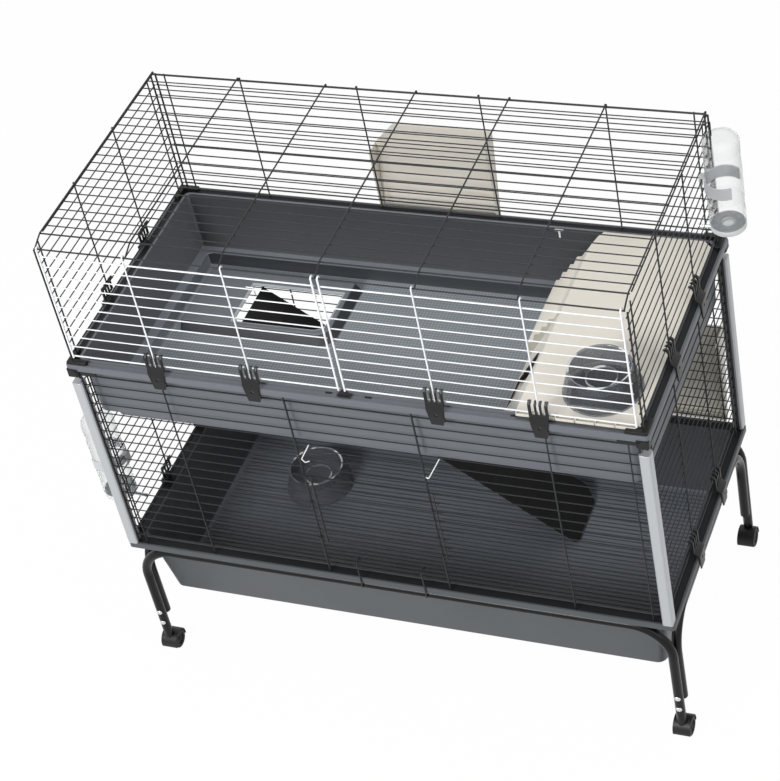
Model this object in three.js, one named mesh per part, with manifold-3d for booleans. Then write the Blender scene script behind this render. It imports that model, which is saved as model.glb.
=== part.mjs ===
// Two-storey rabbit cage on castors: two moulded trays, welded wire panels between them, a wire hood with
// two front doors, a tube stand and the fittings inside. Millimetres, +X right, +Y back, +Z up.
// The origin is on the floor below the middle of the whole, racks and bottles included.
import * as THREE from 'three';
import { mergeGeometries, mergeVertices } from 'three/addons/utils/BufferGeometryUtils.js';
import Module from 'manifold-3d';

const wasm = await Module();
wasm.setup();

// Fits
const gap = 0.3;
const overrun = 20;

// Overall
const trayLength = 1180;
const trayWidth = 568;
const lowerRimTop = 341;
const upperRimTop = 843;
const roofTop = 1145;

// Trays
const rimCornerRadius = 8;
const rimDepth = 14;
const rimWall = 4;
const rimEdgeBevel = 1.5;
const trayWall = 4;
const lowerTrayDepth = 173;
const upperTrayDepth = 170;
const trayWallInset = 26;
const trayFloorInset = 46;
const trayFloorBevel = 8;
const trayCornerRadius = 42;
const trayFloorCornerRadius = 34;
const upperWallInset = 20;
const ledgeInset = 25;
const ledgeWidth = 22;
const ledgeHeight = 30;

// Raised deck over the ramp, in the upper tray
const deckSideInset = 73;
const deckBackInset = 84;
const deckLength = 334;
const deckWidth = 172;
const deckHeight = 22;
const deckWall = 4;
const rampHoleLeftMargin = 117;
const rampHoleRightMargin = 17;
const rampHoleFrontMargin = 17;
const rampHoleBackMargin = 42;
const rampHoleCorner = 26;

// Ramp
const rampWidth = 150;
const rampThickness = 6;
const rampRun = 677;
const rampPivotDrop = 11;
const rampBarrelRadius = 5;
const rampPinRadius = 3;
const rampPinPlay = 0.5;

// Wire and panels
const wirePitch = 25;
const rowRadius = 1.2;
const columnRadius = 1.6;
const stoutExtra = 0.4;
const layerClearance = 0.1;
const wireOverhang = 2.4;
const firstRowRise = 19;
const clipRowRise = 44;
const endWireSpacing = 20;
const panelEndInset = 15;
const panelFaceInset = 11;
const frontColumnX = 130;
const farColumnX = 390;
const upperBackColumnX = 127;
const upperBackFarColumnX = 380;
const sideColumnY = 88;

// Roof and doors
const roofEdgeBack = 30;
const roofEdgeDrop = 16;
const roofColumnInset = 2;
const backRowMargin = 2.4;
const doorRowMargin = 6.4;
const sideTopMargin = 4.8;
const hookBendRadius = 3.9;
const hookSweep = 210;
const hookSideStep = 5;
const doorSplit = 6.5;

// Corner posts and connectors
const postSize = 22;
const postInsetX = 13;
const postInsetY = 9;
const postTop = 796;
const postCornerBevel = 3;
const postFootBevel = 4;
const grooveDepth = 5;
const grooveWidth = 7.4;
const grooveOffset = 3.2;
const collarWall = 1.2;
const connectorArmLength = 38;
const connectorArmBottom = 800;
const connectorArmHeight = 15;
const connectorArmThickness = 3.4;
const connectorHoleRadius = 3;

// Lower door
const lowerDoorBottom = 418;
const lowerDoorTop = 602;
const lowerDoorEdge = 134;
const lowerDoorColumnX = 106;
const lowerDoorLoopRadius = 3.4;
const lowerDoorRowLift = 5;

// Comb clips
const clipWidth = 38;
const clipFootWidth = 24;
const clipThickness = 3;
const clipTopRise = 8;
const clipLength = 76;
const clipPlateBack = 5;
const clipEyeRadius = 2.3;
const clipEyeWall = 2.4;
const clipStepTop = 28;
const clipStepBottom = 38;
const clipSlotDepth = 25;
const clipSlotWidth = 6.4;
const clipMidSlotWidth = 5.4;
const clipSlotCentre = 10;
const clipCatchThickness = 3;
const clipHoleRadius = 3.4;
const clipHoleDrop = 52;
const clipCrookSweep = 150;
const clipNubWidth = 4;
const clipNubHeight = 9;

// House in the upper storey
const houseWall = 3.5;
const houseRoofTop = 850;
const houseRoofThickness = 6.4;
const houseRoofLength = 233;
const houseRoofSideInset = 21;
const houseRoofFrontInset = 24;
const houseRoofBackInset = 32;
const houseWallInset = 13;
const houseFootInset = 69;
const houseStairRun = 106;
const houseSillWidth = 18;
const houseSillHeight = 14;
const houseBodyInset = 59;
const houseFrontWallLength = 120;
const houseDoorWidth = 125;
const houseStepCount = 6;
const houseCornerCut = 16;
const houseRibCount = 5;
const bowlHoleSideInset = 101;
const bowlHoleFrontInset = 105;
const bowlHoleRadius = 75;

// Bowls
const bowlWall = 2.5;
const bowlRimRadius = 79;
const bowlDepth = 44;
const bowlFloorRadius = 52;
const bowlPlay = 1.5;
const floorBowlSideInset = 252;
const floorBowlBackInset = 177;
const floorBowlRadius = 75;
const floorBowlRimRadius = 60;
const floorBowlHeight = 56;
const floorBowlDishDepth = 44;
const floorBowlDishInset = 10;

// Hay racks
const rackWidth = 255;
const rackHeight = 225;
const rackDepth = 45;
const rackFootDepth = 12;
const rackWall = 3;
const rackStandoff = 0.5;
const rackCornerCut = 45;
const rackSillHeight = 18;
const rackHookWidth = 14;
const rackHookMargin = 24;
const rackHookThickness = 3;
const rackHookDrop = 12;
const upperRackRow = 6;
const upperRackX = -9.5;
const lowerRackRow = 8;
const lowerRackSideInset = 170;

// Water bottles
const bottleStandoff = 40.5;
const upperBottleInset = 71;
const lowerBottleInset = 69;
const bottleRadius = 35;
const bottleWall = 1.6;
const bottleLength = 190;
const bottleNeckRadius = 13;
const bottleNeckLength = 12;
const bottleShoulder = 14;
const capRadius = 33;
const capHeight = 24;
const spoutRadius = 4;
const spoutReach = 60;
const spoutDrop = 4;
const spoutRise = 77;
const cradleWall = 3;
const cradleHeight = 26;
const cradleRise = 109;
const cradleHookWidth = 16;

// Stand
const standTube = 20;
const standTubeBevel = 5.5;
const standBendRadius = 80;
const longRailInsetX = 15;
const longRailInsetY = 10;
const sideRailInset = 13;
const sideRailDrop = 5;
const sideLegBottom = 100;
const sideLegBevel = 7;

// Castors
const wheelRadius = 20.5;
const wheelWidth = 14;
const wheelPlay = 1.2;
const casterTrail = 10;
const casterWebWidth = 6;
const hoodWall = 2.6;
const hoodSkirt = 5;
const axleRadius = 3;
const stemRadius = 8;
const casterHeight = 45;

// Rim hooks and middle foot
const rimHookXs = [-60, 79];
const rimHookRadius = 1.5;
const rimHookPlay = 1.2;
const rimHookBottom = 316;
const rimHookBendRadius = 3;
const rimHookTail = 8;
const middleFootWidth = 30;
const middleFootHeight = 15;
const middleFootDepth = 8;

// Facet counts
const wireSides = 4;
const roundSides = 20;
const holeSides = 6;
const smallRoundSides = 8;
const casterSides = 14;
const cornerSteps = 4;
const bendSteps = 5;

// Places worked out from the sizes above
const halfLength = trayLength / 2;
const halfWidth = trayWidth / 2;
const lowerTrayBottom = lowerRimTop - lowerTrayDepth;
const lowerFloorTop = lowerTrayBottom + trayWall;
const upperTrayBottom = upperRimTop - upperTrayDepth;
const upperFloorTop = upperTrayBottom + trayWall;
const ledgeTop = upperTrayBottom + ledgeHeight + trayWall;
const deckLeft = -halfLength + deckSideInset;
const deckRight = deckLeft + deckLength;
const deckBack = halfWidth - deckBackInset;
const deckFront = deckBack - deckWidth;
const rampHoleLeft = deckLeft + rampHoleLeftMargin;
const rampHoleRight = deckRight - rampHoleRightMargin;
const rampHoleFront = deckFront + rampHoleFrontMargin;
const rampHoleBack = deckBack - rampHoleBackMargin;
const rampPivotX = rampHoleLeft;
const stoutRadius = columnRadius + stoutExtra;
const layerSpacing = rowRadius + columnRadius + layerClearance;
const panelHalfLength = halfLength - panelEndInset;
const panelHalfWidth = halfWidth - panelFaceInset;
const roofBayWidth = (panelHalfLength - roofColumnInset) / 3;
const postCentreX = halfLength - postInsetX;
const postCentreY = halfWidth - postInsetY;
const houseRoofRight = halfLength - houseRoofSideInset;
const houseRoofLeft = houseRoofRight - houseRoofLength;
const houseRoofFront = -halfWidth + houseRoofFrontInset;
const houseRoofBack = halfWidth - houseRoofBackInset;
const houseWallRight = houseRoofRight - houseWallInset;
const houseFootRight = houseRoofRight - houseFootInset;
const houseSillLeft = houseRoofLeft - houseStairRun;
const houseBodyFront = -halfWidth + houseBodyInset;
const houseBodyBack = halfWidth - houseBodyInset;
const houseDoorFront = houseBodyFront + houseFrontWallLength;
const houseStairFront = houseDoorFront + houseDoorWidth;
const bowlHoleX = houseRoofRight - bowlHoleSideInset;
const bowlHoleY = houseRoofFront + bowlHoleFrontInset;
const floorBowlX = -halfLength + floorBowlSideInset;
const floorBowlY = halfWidth - floorBowlBackInset;
const lowerRackX = halfLength - lowerRackSideInset;
const bottleAxisX = panelHalfLength + bottleStandoff;
const upperBottleY = halfWidth - upperBottleInset;
const lowerBottleY = -halfWidth + lowerBottleInset;
const longRailX = halfLength - longRailInsetX;
const longRailY = halfWidth - longRailInsetY;
const sideRailX = halfLength - sideRailInset;
const roofColumnZ = roofTop - stoutRadius;
const roofRowZ = roofColumnZ - layerSpacing;
const hingeY = -panelHalfWidth;
const hingeZ = roofTop - roofEdgeDrop;
const doorColumnY = hingeY - hookBendRadius;
const doorRowY = doorColumnY + layerSpacing;
const longRailZ = lowerRimTop - rimDepth - gap - standTube / 2;
const sideRailZ = longRailZ - sideRailDrop;
const sideLegY = longRailY - standTube - gap;

const axisX = new THREE.Vector3(1, 0, 0);
const axisY = new THREE.Vector3(0, 1, 0);
const axisZ = new THREE.Vector3(0, 0, 1);

// Solids

function solidFrom(geometry) {
  const bare = new THREE.BufferGeometry();
  bare.setAttribute('position', geometry.getAttribute('position'));
  bare.setIndex(geometry.getIndex());
  const merged = mergeVertices(bare);
  const mesh = new wasm.Mesh({
    numProp: 3,
    vertProperties: merged.getAttribute('position').array,
    triVerts: new Uint32Array(merged.getIndex().array),
  });
  return new wasm.Manifold(mesh);
}

function geometryFrom(solid) {
  const mesh = solid.getMesh();
  const geometry = new THREE.BufferGeometry();
  geometry.setAttribute('position', new THREE.BufferAttribute(mesh.vertProperties, 3));
  geometry.setIndex(new THREE.BufferAttribute(mesh.triVerts, 1));
  geometry.computeVertexNormals();
  return geometry;
}

// The solid seen in a mirror across X, Y or both, by signs of 1 or -1.
function reflected(solid, signX, signY) {
  const geometry = geometryFrom(solid);
  geometry.scale(signX, signY, 1);
  if (signX * signY < 0) geometry.setIndex([...geometry.getIndex().array].reverse());
  return solidFrom(geometry);
}

function join(solids) {
  let whole = solids[0];
  for (const solid of solids.slice(1)) whole = whole.add(solid);
  return whole;
}

function cut(solid, tools) {
  let rest = solid;
  for (const tool of tools) rest = rest.subtract(tool);
  return rest;
}

function blockGeometry(x0, x1, y0, y1, z0, z1) {
  const geometry = new THREE.BoxGeometry(x1 - x0, y1 - y0, z1 - z0);
  return geometry.translate((x0 + x1) / 2, (y0 + y1) / 2, (z0 + z1) / 2);
}

function block(x0, x1, y0, y1, z0, z1) {
  return solidFrom(blockGeometry(x0, x1, y0, y1, z0, z1));
}

// A round bar between two points.
function roundBar(from, to, radius, sides) {
  const start = new THREE.Vector3(...from);
  const end = new THREE.Vector3(...to);
  const along = end.clone().sub(start);
  const geometry = new THREE.CylinderGeometry(radius, radius, along.length(), sides);
  geometry.applyQuaternion(new THREE.Quaternion().setFromUnitVectors(axisY, along.normalize()));
  const middle = start.add(end).divideScalar(2);
  return geometry.translate(middle.x, middle.y, middle.z);
}

// A prism on an outline given in XZ, from y0 to y1.
function frontPrism(points, y0, y1) {
  const shape = new THREE.Shape(points.map(([x, z]) => new THREE.Vector2(x, z)));
  const geometry = new THREE.ExtrudeGeometry(shape, { depth: y1 - y0, bevelEnabled: false });
  const basis = new THREE.Matrix4().makeBasis(axisX, axisZ, axisY.clone().negate());
  return solidFrom(geometry.applyMatrix4(basis).translate(0, y1, 0));
}

// A prism on an outline given in XY, from z0 to z1.
function topPrism(points, z0, z1) {
  const shape = new THREE.Shape(points.map(([x, y]) => new THREE.Vector2(x, y)));
  const geometry = new THREE.ExtrudeGeometry(shape, { depth: z1 - z0, bevelEnabled: false });
  return solidFrom(geometry.translate(0, 0, z0));
}

// A prism on an outline given in YZ, from x0 to x1.
function sidePrism(points, x0, x1) {
  const shape = new THREE.Shape(points.map(([y, z]) => new THREE.Vector2(y, z)));
  const geometry = new THREE.ExtrudeGeometry(shape, { depth: x1 - x0, bevelEnabled: false });
  const basis = new THREE.Matrix4().makeBasis(axisY, axisZ, axisX);
  return solidFrom(geometry.applyMatrix4(basis).translate(x0, 0, 0));
}

// A turned solid about a vertical axis, its profile given as radius and height.
function turned(profile, sides) {
  const points = profile.map(([radius, z]) => new THREE.Vector2(radius, z));
  const geometry = new THREE.LatheGeometry([...points, points[0].clone()], sides);
  return solidFrom(geometry.rotateX(Math.PI / 2));
}

// Wires and tubes

// A path through stations that all lie in one plane.
class FlatPath extends THREE.Curve {
  constructor(stations, planeNormal) {
    super();
    this.stations = stations;
    this.planeNormal = planeNormal;
  }

  getSpacedPoints() {
    return this.stations;
  }

  computeFrenetFrames() {
    const tangents = [];
    const normals = [];
    const binormals = [];
    const last = this.stations.length - 1;
    for (let i = 0; i <= last; i += 1) {
      const back = this.stations[i].clone().sub(this.stations[Math.max(i - 1, 0)]).normalize();
      const ahead = this.stations[Math.min(i + 1, last)].clone().sub(this.stations[i]).normalize();
      const tangent = back.clone().add(ahead).normalize();
      const mitre = i === 0 || i === last ? 1 : 1 / tangent.dot(ahead);
      tangents.push(tangent);
      normals.push(new THREE.Vector3().crossVectors(this.planeNormal, tangent).multiplyScalar(mitre));
      binormals.push(this.planeNormal.clone());
    }
    return { tangents, normals, binormals };
  }
}

// Stations of a round bend between three corners.
function bendStations([before, corner, after], planeNormal, bendRadius, steps) {
  const inward = corner.clone().sub(before).normalize();
  const outward = after.clone().sub(corner).normalize();
  const side = Math.sign(new THREE.Vector3().crossVectors(inward, outward).dot(planeNormal));
  const turn = inward.angleTo(outward);
  const start = corner.clone().addScaledVector(inward, -bendRadius * Math.tan(turn / 2));
  const towardsCentre = new THREE.Vector3().crossVectors(planeNormal, inward).multiplyScalar(side);
  const centre = start.clone().addScaledVector(towardsCentre, bendRadius);
  const stations = [];
  for (let step = 0; step <= steps; step += 1) {
    const spoke = start.clone().sub(centre);
    spoke.applyAxisAngle(planeNormal, side * turn * step / steps);
    stations.push(spoke.add(centre));
  }
  return stations;
}

// Straight runs with round bends between them.
function bentPath(corners, planeNormal, bendRadius, steps) {
  const stations = [corners[0]];
  for (let i = 1; i < corners.length - 1; i += 1) {
    stations.push(...bendStations(corners.slice(i - 1, i + 2), planeNormal, bendRadius, steps));
  }
  stations.push(corners[corners.length - 1]);
  return new FlatPath(stations, planeNormal);
}

function extrudeAlong(path, section) {
  const shape = new THREE.Shape(section);
  return new THREE.ExtrudeGeometry(shape, { steps: path.stations.length - 1, extrudePath: path });
}

function roundSection(radius, sides) {
  const points = [];
  for (let i = 0; i < sides; i += 1) {
    const angle = 2 * Math.PI * i / sides;
    points.push(new THREE.Vector2(radius * Math.cos(angle), radius * Math.sin(angle)));
  }
  return points;
}

// A square section with bevelled corners.
function bevelledSquare(size, bevel) {
  const half = size / 2;
  const flat = half - bevel;
  const points = [[half, -flat], [half, flat], [flat, half], [-flat, half]];
  const rest = [[-half, flat], [-half, -flat], [-flat, -half], [flat, -half]];
  return [...points, ...rest].map(([x, y]) => new THREE.Vector2(x, y));
}

function bentWire(corners, planeNormal, radius, bendRadius, steps) {
  const points = corners.map((corner) => new THREE.Vector3(...corner));
  const path = bentPath(points, planeNormal, bendRadius, steps);
  return extrudeAlong(path, roundSection(radius, wireSides));
}

// A straight wire whose ridge faces the other layer of its panel.
function straightWire(from, to, radius, facing) {
  const start = new THREE.Vector3(...from);
  const end = new THREE.Vector3(...to);
  const along = end.clone().sub(start);
  const geometry = new THREE.CylinderGeometry(radius, radius, along.length(), wireSides);
  const direction = along.clone().normalize();
  const side = new THREE.Vector3().crossVectors(direction, facing);
  geometry.applyMatrix4(new THREE.Matrix4().makeBasis(side, direction, facing));
  const middle = start.add(end).divideScalar(2);
  return geometry.translate(middle.x, middle.y, middle.z);
}

function bareCopy(geometry) {
  const bare = geometry.index ? geometry.toNonIndexed() : geometry;
  const copy = new THREE.BufferGeometry();
  copy.setAttribute('position', bare.getAttribute('position'));
  return copy;
}

// Wires of one layer lie side by side and never touch, so they become one solid together.
function layer(geometries) {
  return solidFrom(mergeGeometries(geometries.map(bareCopy)));
}

// A welded panel in the plane y = 0, rows inside and columns outside (towards -Y). The stout outer
// columns hold every row, and the stout first and last rows hold every column.
function wirePanel(rows, columns) {
  const rowWires = rows.map(({ z, from, to, radius }) => (
    straightWire([from, 0, z], [to, 0, z], radius, axisY)));
  const columnWires = columns.map(({ x, from, to, radius }) => (
    straightWire([x, -layerSpacing, from], [x, -layerSpacing, to], radius, axisY)));
  return layer(rowWires).add(layer(columnWires));
}

function rowHeights(first, last) {
  const heights = [];
  for (let z = first; z <= last; z += wirePitch) heights.push(z);
  return heights;
}

function rowsBetween(heights, from, to) {
  return heights.map((z, i) => {
    const isEnd = i === 0 || i === heights.length - 1;
    return { z, from, to, radius: isEnd ? columnRadius : rowRadius };
  });
}

function columnsAt(places, from, to) {
  const reach = Math.max(...places);
  return places.map((x) => {
    const isEnd = Math.abs(x) === reach;
    return { x, from, to, radius: isEnd ? stoutRadius : columnRadius };
  });
}

function mirrored(places) {
  return [...places.map((place) => -place), ...places];
}

// Group and materials

const group = new THREE.Group();

function finish(color, roughness, metalness) {
  return new THREE.MeshStandardMaterial({ color, roughness, metalness });
}

const lowerTrayPlastic = finish(0x5a5e64, 0.6, 0);
const upperTrayPlastic = finish(0x777b82, 0.6, 0);
const darkWire = finish(0x2b2b2a, 0.45, 0.3);
const whiteWire = finish(0xe2e5e8, 0.35, 0.1);
const standEnamel = finish(0x2f2f2d, 0.4, 0.2);
const castorPlastic = finish(0x1c1c1c, 0.55, 0);
const clipPlastic = finish(0x3b3b3b, 0.6, 0);
const postMetal = finish(0xb6b8bb, 0.35, 0.7);
const beigePlastic = finish(0xdedad2, 0.55, 0);
const rampBoard = finish(0x1e1e1e, 0.85, 0);
const clearPlastic = finish(0xaab0b6, 0.1, 0);
const greyFitting = finish(0xa9adb0, 0.5, 0);

function add(name, solid, material, place = [0, 0, 0], turn = 0) {
  const mesh = new THREE.Mesh(geometryFrom(solid), material);
  mesh.name = name;
  mesh.position.set(...place);
  mesh.rotation.z = turn;
  group.add(mesh);
  return mesh;
}

const sides = [
  { name: 'left', turn: -Math.PI / 2, sign: -1 },
  { name: 'right', turn: Math.PI / 2, sign: 1 },
];
const corners = [
  { name: 'front_left', x: -1, y: -1 },
  { name: 'front_right', x: 1, y: -1 },
  { name: 'back_left', x: -1, y: 1 },
  { name: 'back_right', x: 1, y: 1 },
];

// Stand: two long U tubes at the front and back, and two short ones bolted between their legs

function uTube(name, reach, z, legBottom, isSide, sign) {
  const across = isSide ? axisY : axisX;
  const planeNormal = isSide ? axisX : axisY;
  const offset = isSide ? sign * sideRailX : sign * longRailY;
  const base = planeNormal.clone().multiplyScalar(offset);
  const point = (along, height) => base.clone().addScaledVector(across, along).setZ(height);
  const bends = [point(-reach, legBottom), point(-reach, z), point(reach, z), point(reach, legBottom)];
  const path = bentPath(bends, planeNormal, standBendRadius, bendSteps);
  let tube = solidFrom(extrudeAlong(path, bevelledSquare(standTube, standTubeBevel)));
  if (isSide) tube = cut(tube, legBevels(reach));
  add(name, tube, standEnamel);
}

// The free ends of the short tubes are cut at a slant on their inner side.
function legBevels(reach) {
  return [-1, 1].map((end) => {
    const inner = end * (reach - standTube / 2);
    const low = sideLegBottom - overrun;
    const points = [
      [inner - end * overrun, low],
      [inner + end * (sideLegBevel + overrun), low],
      [inner - end * overrun, sideLegBottom + sideLegBevel + overrun],
    ];
    return sidePrism(end > 0 ? points : points.reverse(), -trayLength, trayLength);
  });
}

function addStand() {
  uTube('stand_rail_front', longRailX, longRailZ, casterHeight + gap, false, -1);
  uTube('stand_rail_back', longRailX, longRailZ, casterHeight + gap, false, 1);
  for (const side of sides) {
    uTube(`stand_rail_${side.name}`, sideLegY, sideRailZ, sideLegBottom, true, side.sign);
  }
}

// Castors: a hood with a middle web and a stem, and two wheels on one axle

function casterHood() {
  const halfSpan = casterWebWidth / 2 + wheelPlay + wheelWidth;
  const hoodRadius = wheelRadius + wheelPlay + hoodWall;
  const disc = solidFrom(roundBar([-halfSpan, 0, 0], [halfSpan, 0, 0], hoodRadius, casterSides));
  const past = hoodRadius + overrun;
  const below = block(-overrun, overrun, -past, past, -past, -hoodSkirt);
  const pockets = [-1, 1].map((end) => {
    const pocket = [[end * casterWebWidth / 2, 0, 0], [end * (halfSpan + overrun), 0, 0]];
    return solidFrom(roundBar(...pocket, wheelRadius + wheelPlay, casterSides));
  });
  const bore = solidFrom(roundBar([-overrun, 0, 0], [overrun, 0, 0], axleRadius + gap, smallRoundSides));
  const stemTop = casterHeight - wheelRadius;
  const stem = solidFrom(roundBar(
    [0, casterTrail, wheelRadius], [0, casterTrail, stemTop], stemRadius, smallRoundSides));
  return cut(disc, [below, ...pockets, bore]).add(stem);
}

function casterWheels() {
  const inner = casterWebWidth / 2 + wheelPlay / 2;
  const outer = inner + wheelWidth;
  const wheels = [-1, 1].map((end) => (
    solidFrom(roundBar([end * inner, 0, 0], [end * outer, 0, 0], wheelRadius, casterSides))));
  const axleEnd = outer - wheelPlay;
  const axle = solidFrom(roundBar([-axleEnd, 0, 0], [axleEnd, 0, 0], axleRadius, smallRoundSides));
  return join([axle, ...wheels]);
}

function addCasters() {
  for (const corner of corners) {
    const stemY = corner.y * longRailY;
    const place = [corner.x * longRailX, stemY - corner.y * casterTrail, wheelRadius];
    const turn = corner.y > 0 ? 0 : Math.PI;
    add(`caster_hood_${corner.name}`, casterHood(), castorPlastic, place, turn);
    add(`caster_wheels_${corner.name}`, casterWheels(), castorPlastic, place, turn);
  }
}

// Trays: a profile of rounded rectangles, each set in from the rim by its inset

function trayRing({ inset, radius, z }) {
  const points = [];
  const starts = [[1, 1], [-1, 1], [-1, -1], [1, -1]];
  starts.forEach(([signX, signY], quarter) => {
    for (let step = 0; step <= cornerSteps; step += 1) {
      const angle = Math.PI / 2 * (quarter + step / cornerSteps);
      const x = signX * (halfLength - inset - radius) + radius * Math.cos(angle);
      const y = signY * (halfWidth - inset - radius) + radius * Math.sin(angle);
      points.push([x, y, z]);
    }
  });
  return points;
}

function trayShell(profile) {
  const rings = profile.map(trayRing);
  const count = rings[0].length;
  const index = [];
  for (let ring = 0; ring < rings.length - 1; ring += 1) {
    for (let i = 0; i < count; i += 1) {
      const a = ring * count + i;
      const b = ring * count + (i + 1) % count;
      index.push(a, b, b + count, a, b + count, a + count);
    }
  }
  const lastStart = (rings.length - 1) * count;
  for (let i = 1; i < count - 1; i += 1) {
    index.push(0, i + 1, i);
    index.push(lastStart, lastStart + i, lastStart + i + 1);
  }
  const geometry = new THREE.BufferGeometry();
  geometry.setAttribute('position', new THREE.Float32BufferAttribute(rings.flat(2), 3));
  geometry.setIndex(index);
  return solidFrom(geometry);
}

// The rim's flange and skirt, from the wall below it round to the inner wall.
function rimProfile(rimTop, wallInset, innerInset) {
  const skirtRadius = rimCornerRadius - rimWall;
  return [
    { inset: wallInset, radius: trayCornerRadius, z: rimTop - rimWall },
    { inset: rimWall, radius: skirtRadius, z: rimTop - rimWall },
    { inset: rimWall, radius: skirtRadius, z: rimTop - rimDepth },
    { inset: 0, radius: rimCornerRadius, z: rimTop - rimDepth },
    { inset: 0, radius: rimCornerRadius, z: rimTop - rimEdgeBevel },
    { inset: rimEdgeBevel, radius: rimCornerRadius - rimEdgeBevel, z: rimTop },
    { inset: innerInset, radius: trayCornerRadius - trayWall, z: rimTop },
  ];
}

function lowerTray() {
  const innerInset = trayWallInset + trayWall;
  return trayShell([
    { inset: trayFloorInset + trayWall, radius: trayFloorCornerRadius, z: lowerTrayBottom },
    { inset: trayFloorInset, radius: trayFloorCornerRadius + trayWall, z: lowerTrayBottom + trayWall },
    ...rimProfile(lowerRimTop, trayWallInset, innerInset),
    { inset: trayFloorInset + trayWall, radius: trayFloorCornerRadius, z: lowerFloorTop + trayWall },
    { inset: trayFloorInset + trayFloorBevel, radius: trayFloorCornerRadius - trayWall, z: lowerFloorTop },
  ]);
}

function upperTray() {
  const lowWallInset = ledgeInset + ledgeWidth;
  const ledgeUnder = ledgeTop - trayWall;
  const innerRadius = trayCornerRadius - trayWall;
  const shell = trayShell([
    { inset: lowWallInset + trayWall, radius: trayFloorCornerRadius, z: upperTrayBottom },
    { inset: lowWallInset, radius: trayFloorCornerRadius + trayWall, z: upperTrayBottom + trayWall },
    { inset: lowWallInset, radius: trayFloorCornerRadius + trayWall, z: ledgeUnder },
    { inset: ledgeInset, radius: trayCornerRadius, z: ledgeUnder },
    ...rimProfile(upperRimTop, upperWallInset, upperWallInset + trayWall),
    { inset: ledgeInset + trayWall, radius: innerRadius, z: ledgeTop },
    { inset: lowWallInset + trayWall, radius: trayFloorCornerRadius, z: ledgeTop },
    { inset: lowWallInset + trayWall, radius: trayFloorCornerRadius, z: upperFloorTop + trayWall },
    { inset: lowWallInset + trayFloorBevel, radius: trayFloorCornerRadius - trayWall, z: upperFloorTop },
  ]);
  const deckTop = upperFloorTop + deckHeight;
  const deck = block(deckLeft, deckRight, deckFront, deckBack, upperTrayBottom, deckTop);
  const recess = block(
    deckLeft + deckWall, deckRight - deckWall, deckFront + deckWall, deckBack - deckWall,
    upperTrayBottom - overrun, deckTop - deckWall);
  const hole = topPrism(rampHoleOutline(), upperTrayBottom, deckTop + overrun);
  const pivotZ = deckTop - rampPivotDrop;
  const pinHole = solidFrom(roundBar(
    [rampPivotX, deckFront - overrun, pivotZ], [rampPivotX, deckBack + overrun, pivotZ],
    rampPinRadius + rampPinPlay, smallRoundSides));
  return cut(shell.add(deck), [recess, hole, pinHole]);
}

// The hole's front right corner is round.
function rampHoleOutline() {
  const points = [[rampHoleRight, rampHoleBack], [rampHoleLeft, rampHoleBack], [rampHoleLeft, rampHoleFront]];
  for (let step = 0; step <= cornerSteps; step += 1) {
    const angle = Math.PI / 2 * step / cornerSteps;
    const x = rampHoleRight - rampHoleCorner + rampHoleCorner * Math.sin(angle);
    const y = rampHoleFront + rampHoleCorner - rampHoleCorner * Math.cos(angle);
    points.push([x, y]);
  }
  return points;
}

// Ramp: a board with a barrel and two pins that turn in the walls of the raised deck

function addRamp() {
  const pivotZ = upperFloorTop + deckHeight - rampPivotDrop;
  const fall = pivotZ - lowerFloorTop - gap - rampThickness / 2;
  const slope = Math.atan2(fall, rampRun);
  const length = Math.hypot(rampRun, fall);
  const middleY = (deckFront + deckBack) / 2;
  const halfThickness = rampThickness / 2;
  const board = block(0, length, -rampWidth / 2, rampWidth / 2, -halfThickness, halfThickness);
  const barrel = solidFrom(roundBar(
    [0, -rampWidth / 2, 0], [0, rampWidth / 2, 0], rampBarrelRadius, smallRoundSides));
  const pinReach = (deckBack - deckFront) / 2 - gap;
  const pin = solidFrom(roundBar([0, -pinReach, 0], [0, pinReach, 0], rampPinRadius, smallRoundSides));
  const mesh = add('ramp', join([board, barrel, pin]), rampBoard, [rampPivotX, middleY, pivotZ]);
  mesh.rotation.y = slope;
}

// Corner posts: an extrusion with a groove for each panel, and a connector on top of it

function postSection(size) {
  const half = size / 2;
  const flat = half - postCornerBevel;
  const outline = [[flat, -half], [half, -flat], [half, flat], [flat, half]];
  const rest = [[-flat, half], [-half, flat], [-half, -flat], [-flat, -half]];
  return [...outline, ...rest];
}

// Grooves in the two inner faces of a post at the corner with positive x and y.
function postGrooves(bottom, top) {
  const start = -postSize / 2;
  const nearX = start - overrun;
  const low = grooveOffset - grooveWidth;
  return [
    block(nearX, start + grooveDepth, low, grooveOffset, bottom, top),
    block(low, grooveOffset, nearX, start + grooveDepth, bottom, top),
  ];
}

function cornerPost() {
  const bottom = lowerRimTop + gap;
  const shaft = topPrism(postSection(postSize), bottom, postTop);
  const edge = postSize / 2;
  const outline = [
    [edge - postFootBevel, bottom - overrun], [edge + overrun, bottom - overrun],
    [edge + overrun, bottom + postFootBevel + overrun],
  ];
  const footBevels = [sidePrism(outline, -postSize, postSize), frontPrism(outline, -postSize, postSize)];
  return cut(shaft, [...postGrooves(bottom - overrun, postTop + overrun), ...footBevels]);
}

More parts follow.
